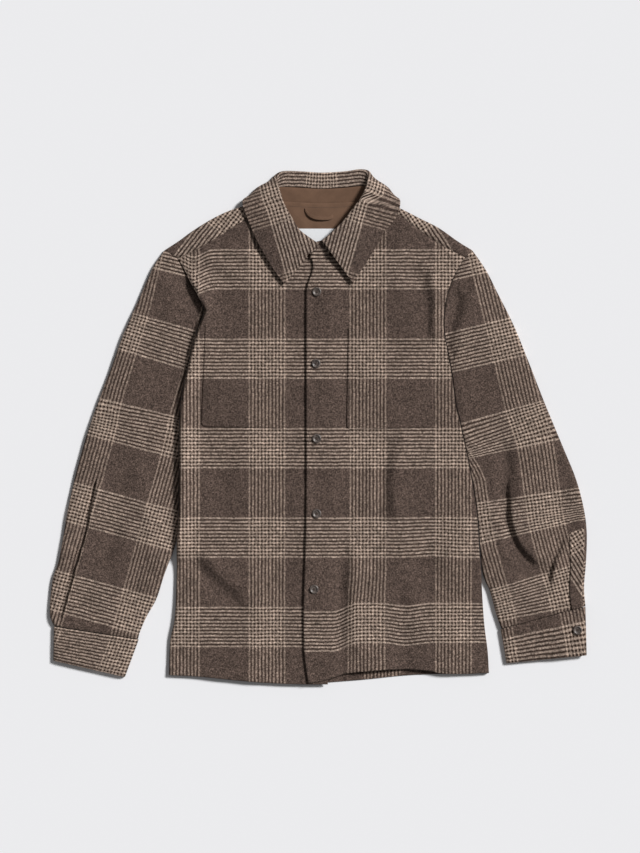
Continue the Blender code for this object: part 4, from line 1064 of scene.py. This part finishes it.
# Buttons: turned with a domed rim round a shallow dish, four holes, sewn on crosswise
button = {"profile": ((0, 1.6), (3.1, 1.6), (4.0, 1.9), (4.6, 2.6), (5.2, 2.95), (5.8, 3.0), (6.4, 2.7),
                      (6.85, 2.1), (7.0, 1.4), (6.7, 0.6), (6.0, 0.2), (0, 0.2)),
          "hole": 0.85, "holeAt": 1.55, "drill": 6, "drillAt": 1,
          "thread": 0.42, "threadAt": (1.95, 2.3), "turnStep": 0.35}


def addThread(work, start, end, radius, segments):  # a short straight one between two points
    start, end = Vector(start) * mm, Vector(end) * mm
    turn = (end - start).to_track_quat("Z", "Y").to_matrix().to_4x4()
    turn.translation = (start + end) / 2
    bmesh.ops.create_cone(work, cap_ends=True, segments=segments, radius1=radius * mm, radius2=radius * mm,
                          depth=(end - start).length, matrix=turn)


def threadPiece(name, work, finish, slotName):
    piece = placed(name, meshFrom(work, name))
    piece.data.shade_smooth()
    piece.data.set_sharp_from_angle(angle=math.radians(40))
    onBody(piece, finish, slotName)


def buttonAt(node, turned):
    low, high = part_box(node)
    centre = Vector(((low[0] + high[0]) / 2, (low[1] + high[1]) / 2, low[2]))
    work = bmesh.new()
    rim = [work.verts.new((r * mm, 0, z * mm)) for r, z in button["profile"]]
    for a, b in zip(rim, rim[1:]):
        work.edges.new((a, b))
    bmesh.ops.spin(work, geom=list(work.verts) + list(work.edges), cent=(0, 0, 0), axis=(0, 0, 1),
                   angle=2 * math.pi, steps=40, use_merge=True)
    bmesh.ops.remove_doubles(work, verts=work.verts, dist=0.00001)
    bmesh.ops.recalc_face_normals(work, faces=work.faces)
    piece = placed(f"horn_{node}", meshFrom(work, "disc"))
    drill = bmesh.new()
    spots = []
    for k in range(4):
        turn = turned + math.pi / 4 + k * math.pi / 2
        spots.append((button["holeAt"] * math.cos(turn), button["holeAt"] * math.sin(turn)))
        place = Vector((*spots[-1], button["drillAt"])) * mm
        bmesh.ops.create_cone(drill, cap_ends=True, segments=14, radius1=button["hole"] * mm,
                              radius2=button["hole"] * mm, depth=button["drill"] * mm,
                              matrix=Matrix.Translation(place))
    drillMesh = meshFrom(drill, "drill")
    drillObject = placed("drill", drillMesh)
    cut = piece.modifiers.new("holes", "BOOLEAN")
    cut.object, cut.solver = drillObject, "EXACT"
    bpy.context.view_layer.update()
    made = bpy.data.meshes.new_from_object(piece.evaluated_get(bpy.context.evaluated_depsgraph_get()))
    piece.modifiers.clear()
    piece.data = made
    bpy.data.objects.remove(drillObject)
    bpy.data.meshes.remove(drillMesh)
    made.transform(Matrix.Translation(centre))
    made.materials.clear()
    made.shade_smooth()
    made.set_sharp_from_angle(angle=math.radians(35))
    onBody(piece, hornFinish, "horn_button", (node,))
    threads = bmesh.new()
    base = centre * 1000
    for (start, end), lift in zip((spots[::2], spots[1::2]), button["threadAt"]):
        addThread(threads, (base.x + start[0], base.y + start[1], base.z + lift),
                  (base.x + end[0], base.y + end[1], base.z + lift), button["thread"], 8)
    threadPiece(f"thread_{node}", threads, brownThread, "horn_button")


for number, node in enumerate(sorted(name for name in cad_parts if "button" in name)):
    buttonAt(node, button["turnStep"] * number)
print("buttons ready")

# Sewing: short stitches laid on the pieces they hold, wherever those lie uppermost
sewing = {"step": 3.4, "long": 2.2, "radius": 0.27, "edge": 5}


def sew(name, finish, slotName, holds, runs, step=sewing["step"], long=sewing["long"]):
    bpy.context.view_layer.update()
    graph = bpy.context.evaluated_depsgraph_get()
    work = bmesh.new()

    def surfaceAt(place):
        above = Vector(((place[0] + shiftX) * mm, (place[1] + shiftY) * mm, 0.1))
        found, spot, _, _, piece, _ = bpy.context.scene.ray_cast(graph, above, Vector((0, 0, -1)))
        return spot * 1000 if found and piece.name.startswith(holds) else None

    for run in runs:
        line = curveThrough(*run)
        total = curveLength(line)[-1]
        for k in range(int(total / step)):
            ends = [surfaceAt(p) for p in alongCurve(line, [k * step / total, (k * step + long) / total])]
            if all(ends) and (ends[0] - ends[1]).length < 1.6 * long:
                addThread(work, ends[0], ends[1], sewing["radius"], 5)
    threadPiece(name, work, finish, slotName)


def pocketRuns(pocket):
    (outerLow, outerTop), (innerLow, innerTop) = pocket["outer"], pocket["inner"]
    low, top, turn = pocket["bottom"], pocket["top"], math.copysign(1, innerLow - outerLow)
    stitch, corner, hemY = pocketCut["stitch"], pocketCut["corner"], top - pocketCut["hem"]
    a, b = stitch * turn, corner * turn
    around = [(outerTop + a, top - 1), (outerLow + a, low + corner), (outerLow + b, low + stitch),
              (innerLow - b, low + stitch), (innerLow - a, low + corner), (innerTop - a, top - 1)]
    return [[list(pair) for pair in zip(around, around[1:])],
            [[(outerTop + turn, hemY), (innerTop - turn, hemY)]]]


def cuffRuns(corners):
    (topOut, topIn), (openOut, openIn) = [[np.array(p, float) for p in pair] for pair in corners]
    long = np.linalg.norm(openIn - topIn)
    inset = sewing["edge"] / long
    lines = [(mixed(topOut, openOut, share), mixed(topIn, openIn, share)) for share in (inset, 1 - inset)]
    return [[[mixed(outer, inner, t) for t in (0.03, 0.35, 0.65, 0.97)]] for outer, inner in lines]


def collarRun(points, rows):  # down the front edge to the tip, then along the leaf's edge
    inset = [alongCurve(leaf[:, :2], [sewing["edge"] / curveLength(leaf)[-1]])[0]
             for leaf in points[rows, :15]]
    front = points[rows[0]][2:15, :2][::-1]
    return [[tuple(p) for p in front[:-1]] + [tuple(inset[0])], [tuple(p) for p in inset[::3]]]


hemRuns = [[[(x, y + cloth["hem"]) for x, y in outline["rightHem"] if x < -24] + [(-27, -375)]],
           [[(x, y + cloth["hem"]) for x, y in outline["leftHem"] if x > -18] + [(-16, -373)]]]
sew("thread_hems", brownThread, "wool_check", "wool_front", hemRuns)
sew("thread_pockets", brownThread, "wool_check", "chest_pocket",
    pocketRuns(fronts["right"]["pocket"]) + pocketRuns(fronts["left"]["pocket"]))
sew("thread_cuffs", brownThread, "wool_check", "wool_cuff",
    cuffRuns(cuffs["right"]["corners"]) + cuffRuns(cuffs["left"]["corners"]))
sew("thread_collar", brownThread, "wool_check", "wool_collar",
    [collarRun(fallGrid[0], list(range(2, 46))), collarRun(fallGrid[0], list(range(187, 140, -1)))])
neckRun = [(x, y - sewing["edge"]) for x, y, z in (row[0] for row in collarRows[6:15])]
sew("thread_neck", brownThread, "brown_twill", "twill_lining", [[neckRun]])
x0, x1, y0, y1 = [edge + label["inset"] * turn for edge, turn in zip(label["box"], (1, -1, 1, -1))]
square = [(x0, y0), (x1, y0), (x1, y1), (x0, y1), (x0, y0)]
sew("thread_label", whiteThread, "white_label", "blank_label",
    [[list(pair) for pair in zip(square, square[1:])]], label["step"], label["long"])
print("sewing ready")

# Floor, light and camera
studio = {"floor": "#ececee", "floorHalf": 4, "fill": 0.175,
          "sunFrom": (0.85, 0.55, 0.8), "sunAngle": 13, "sunStrength": 4.15,
          "lens": 85, "sensor": 36, "viewHeight": 1.297, "aimedAt": (0, -0.76, 8)}
floorMesh = bmesh.new()
bmesh.ops.create_grid(floorMesh, x_segments=1, y_segments=1, size=studio["floorHalf"])
floor = placed("studio_floor", meshFrom(floorMesh, "studio_floor"))
floorFinish, _, _ = newMaterial("matt white paper", 0.9, {
    "Specular IOR Level": 0.1, "Base Color": linearColour(studio["floor"])})
floor.data.materials.append(floorFinish)

sun = bpy.data.lights.new("soft key", "SUN")
sun.energy, sun.angle = studio["sunStrength"], math.radians(studio["sunAngle"])
placed("soft key", sun).rotation_euler = Vector(studio["sunFrom"]).to_track_quat("Z", "Y").to_euler()
world = bpy.data.worlds.new("even fill")
world.use_nodes = True
world.node_tree.nodes["Background"].inputs[0].default_value = (1, 1, 1, 1)
world.node_tree.nodes["Background"].inputs[1].default_value = studio["fill"]
bpy.context.scene.world = world

camera = bpy.data.cameras.new("camera")
camera.lens, camera.sensor_width = studio["lens"], studio["sensor"]
camera.clip_end = 20
x, y, z = studio["aimedAt"]
away = studio["viewHeight"] * studio["lens"] / studio["sensor"]
bpy.context.scene.camera = placed("camera", camera)
bpy.context.scene.camera.location = ((x + shiftX) * mm, (y + shiftY) * mm, z * mm + away)
bpy.context.scene.view_settings.view_transform = "Standard"
print("camera and light ready")
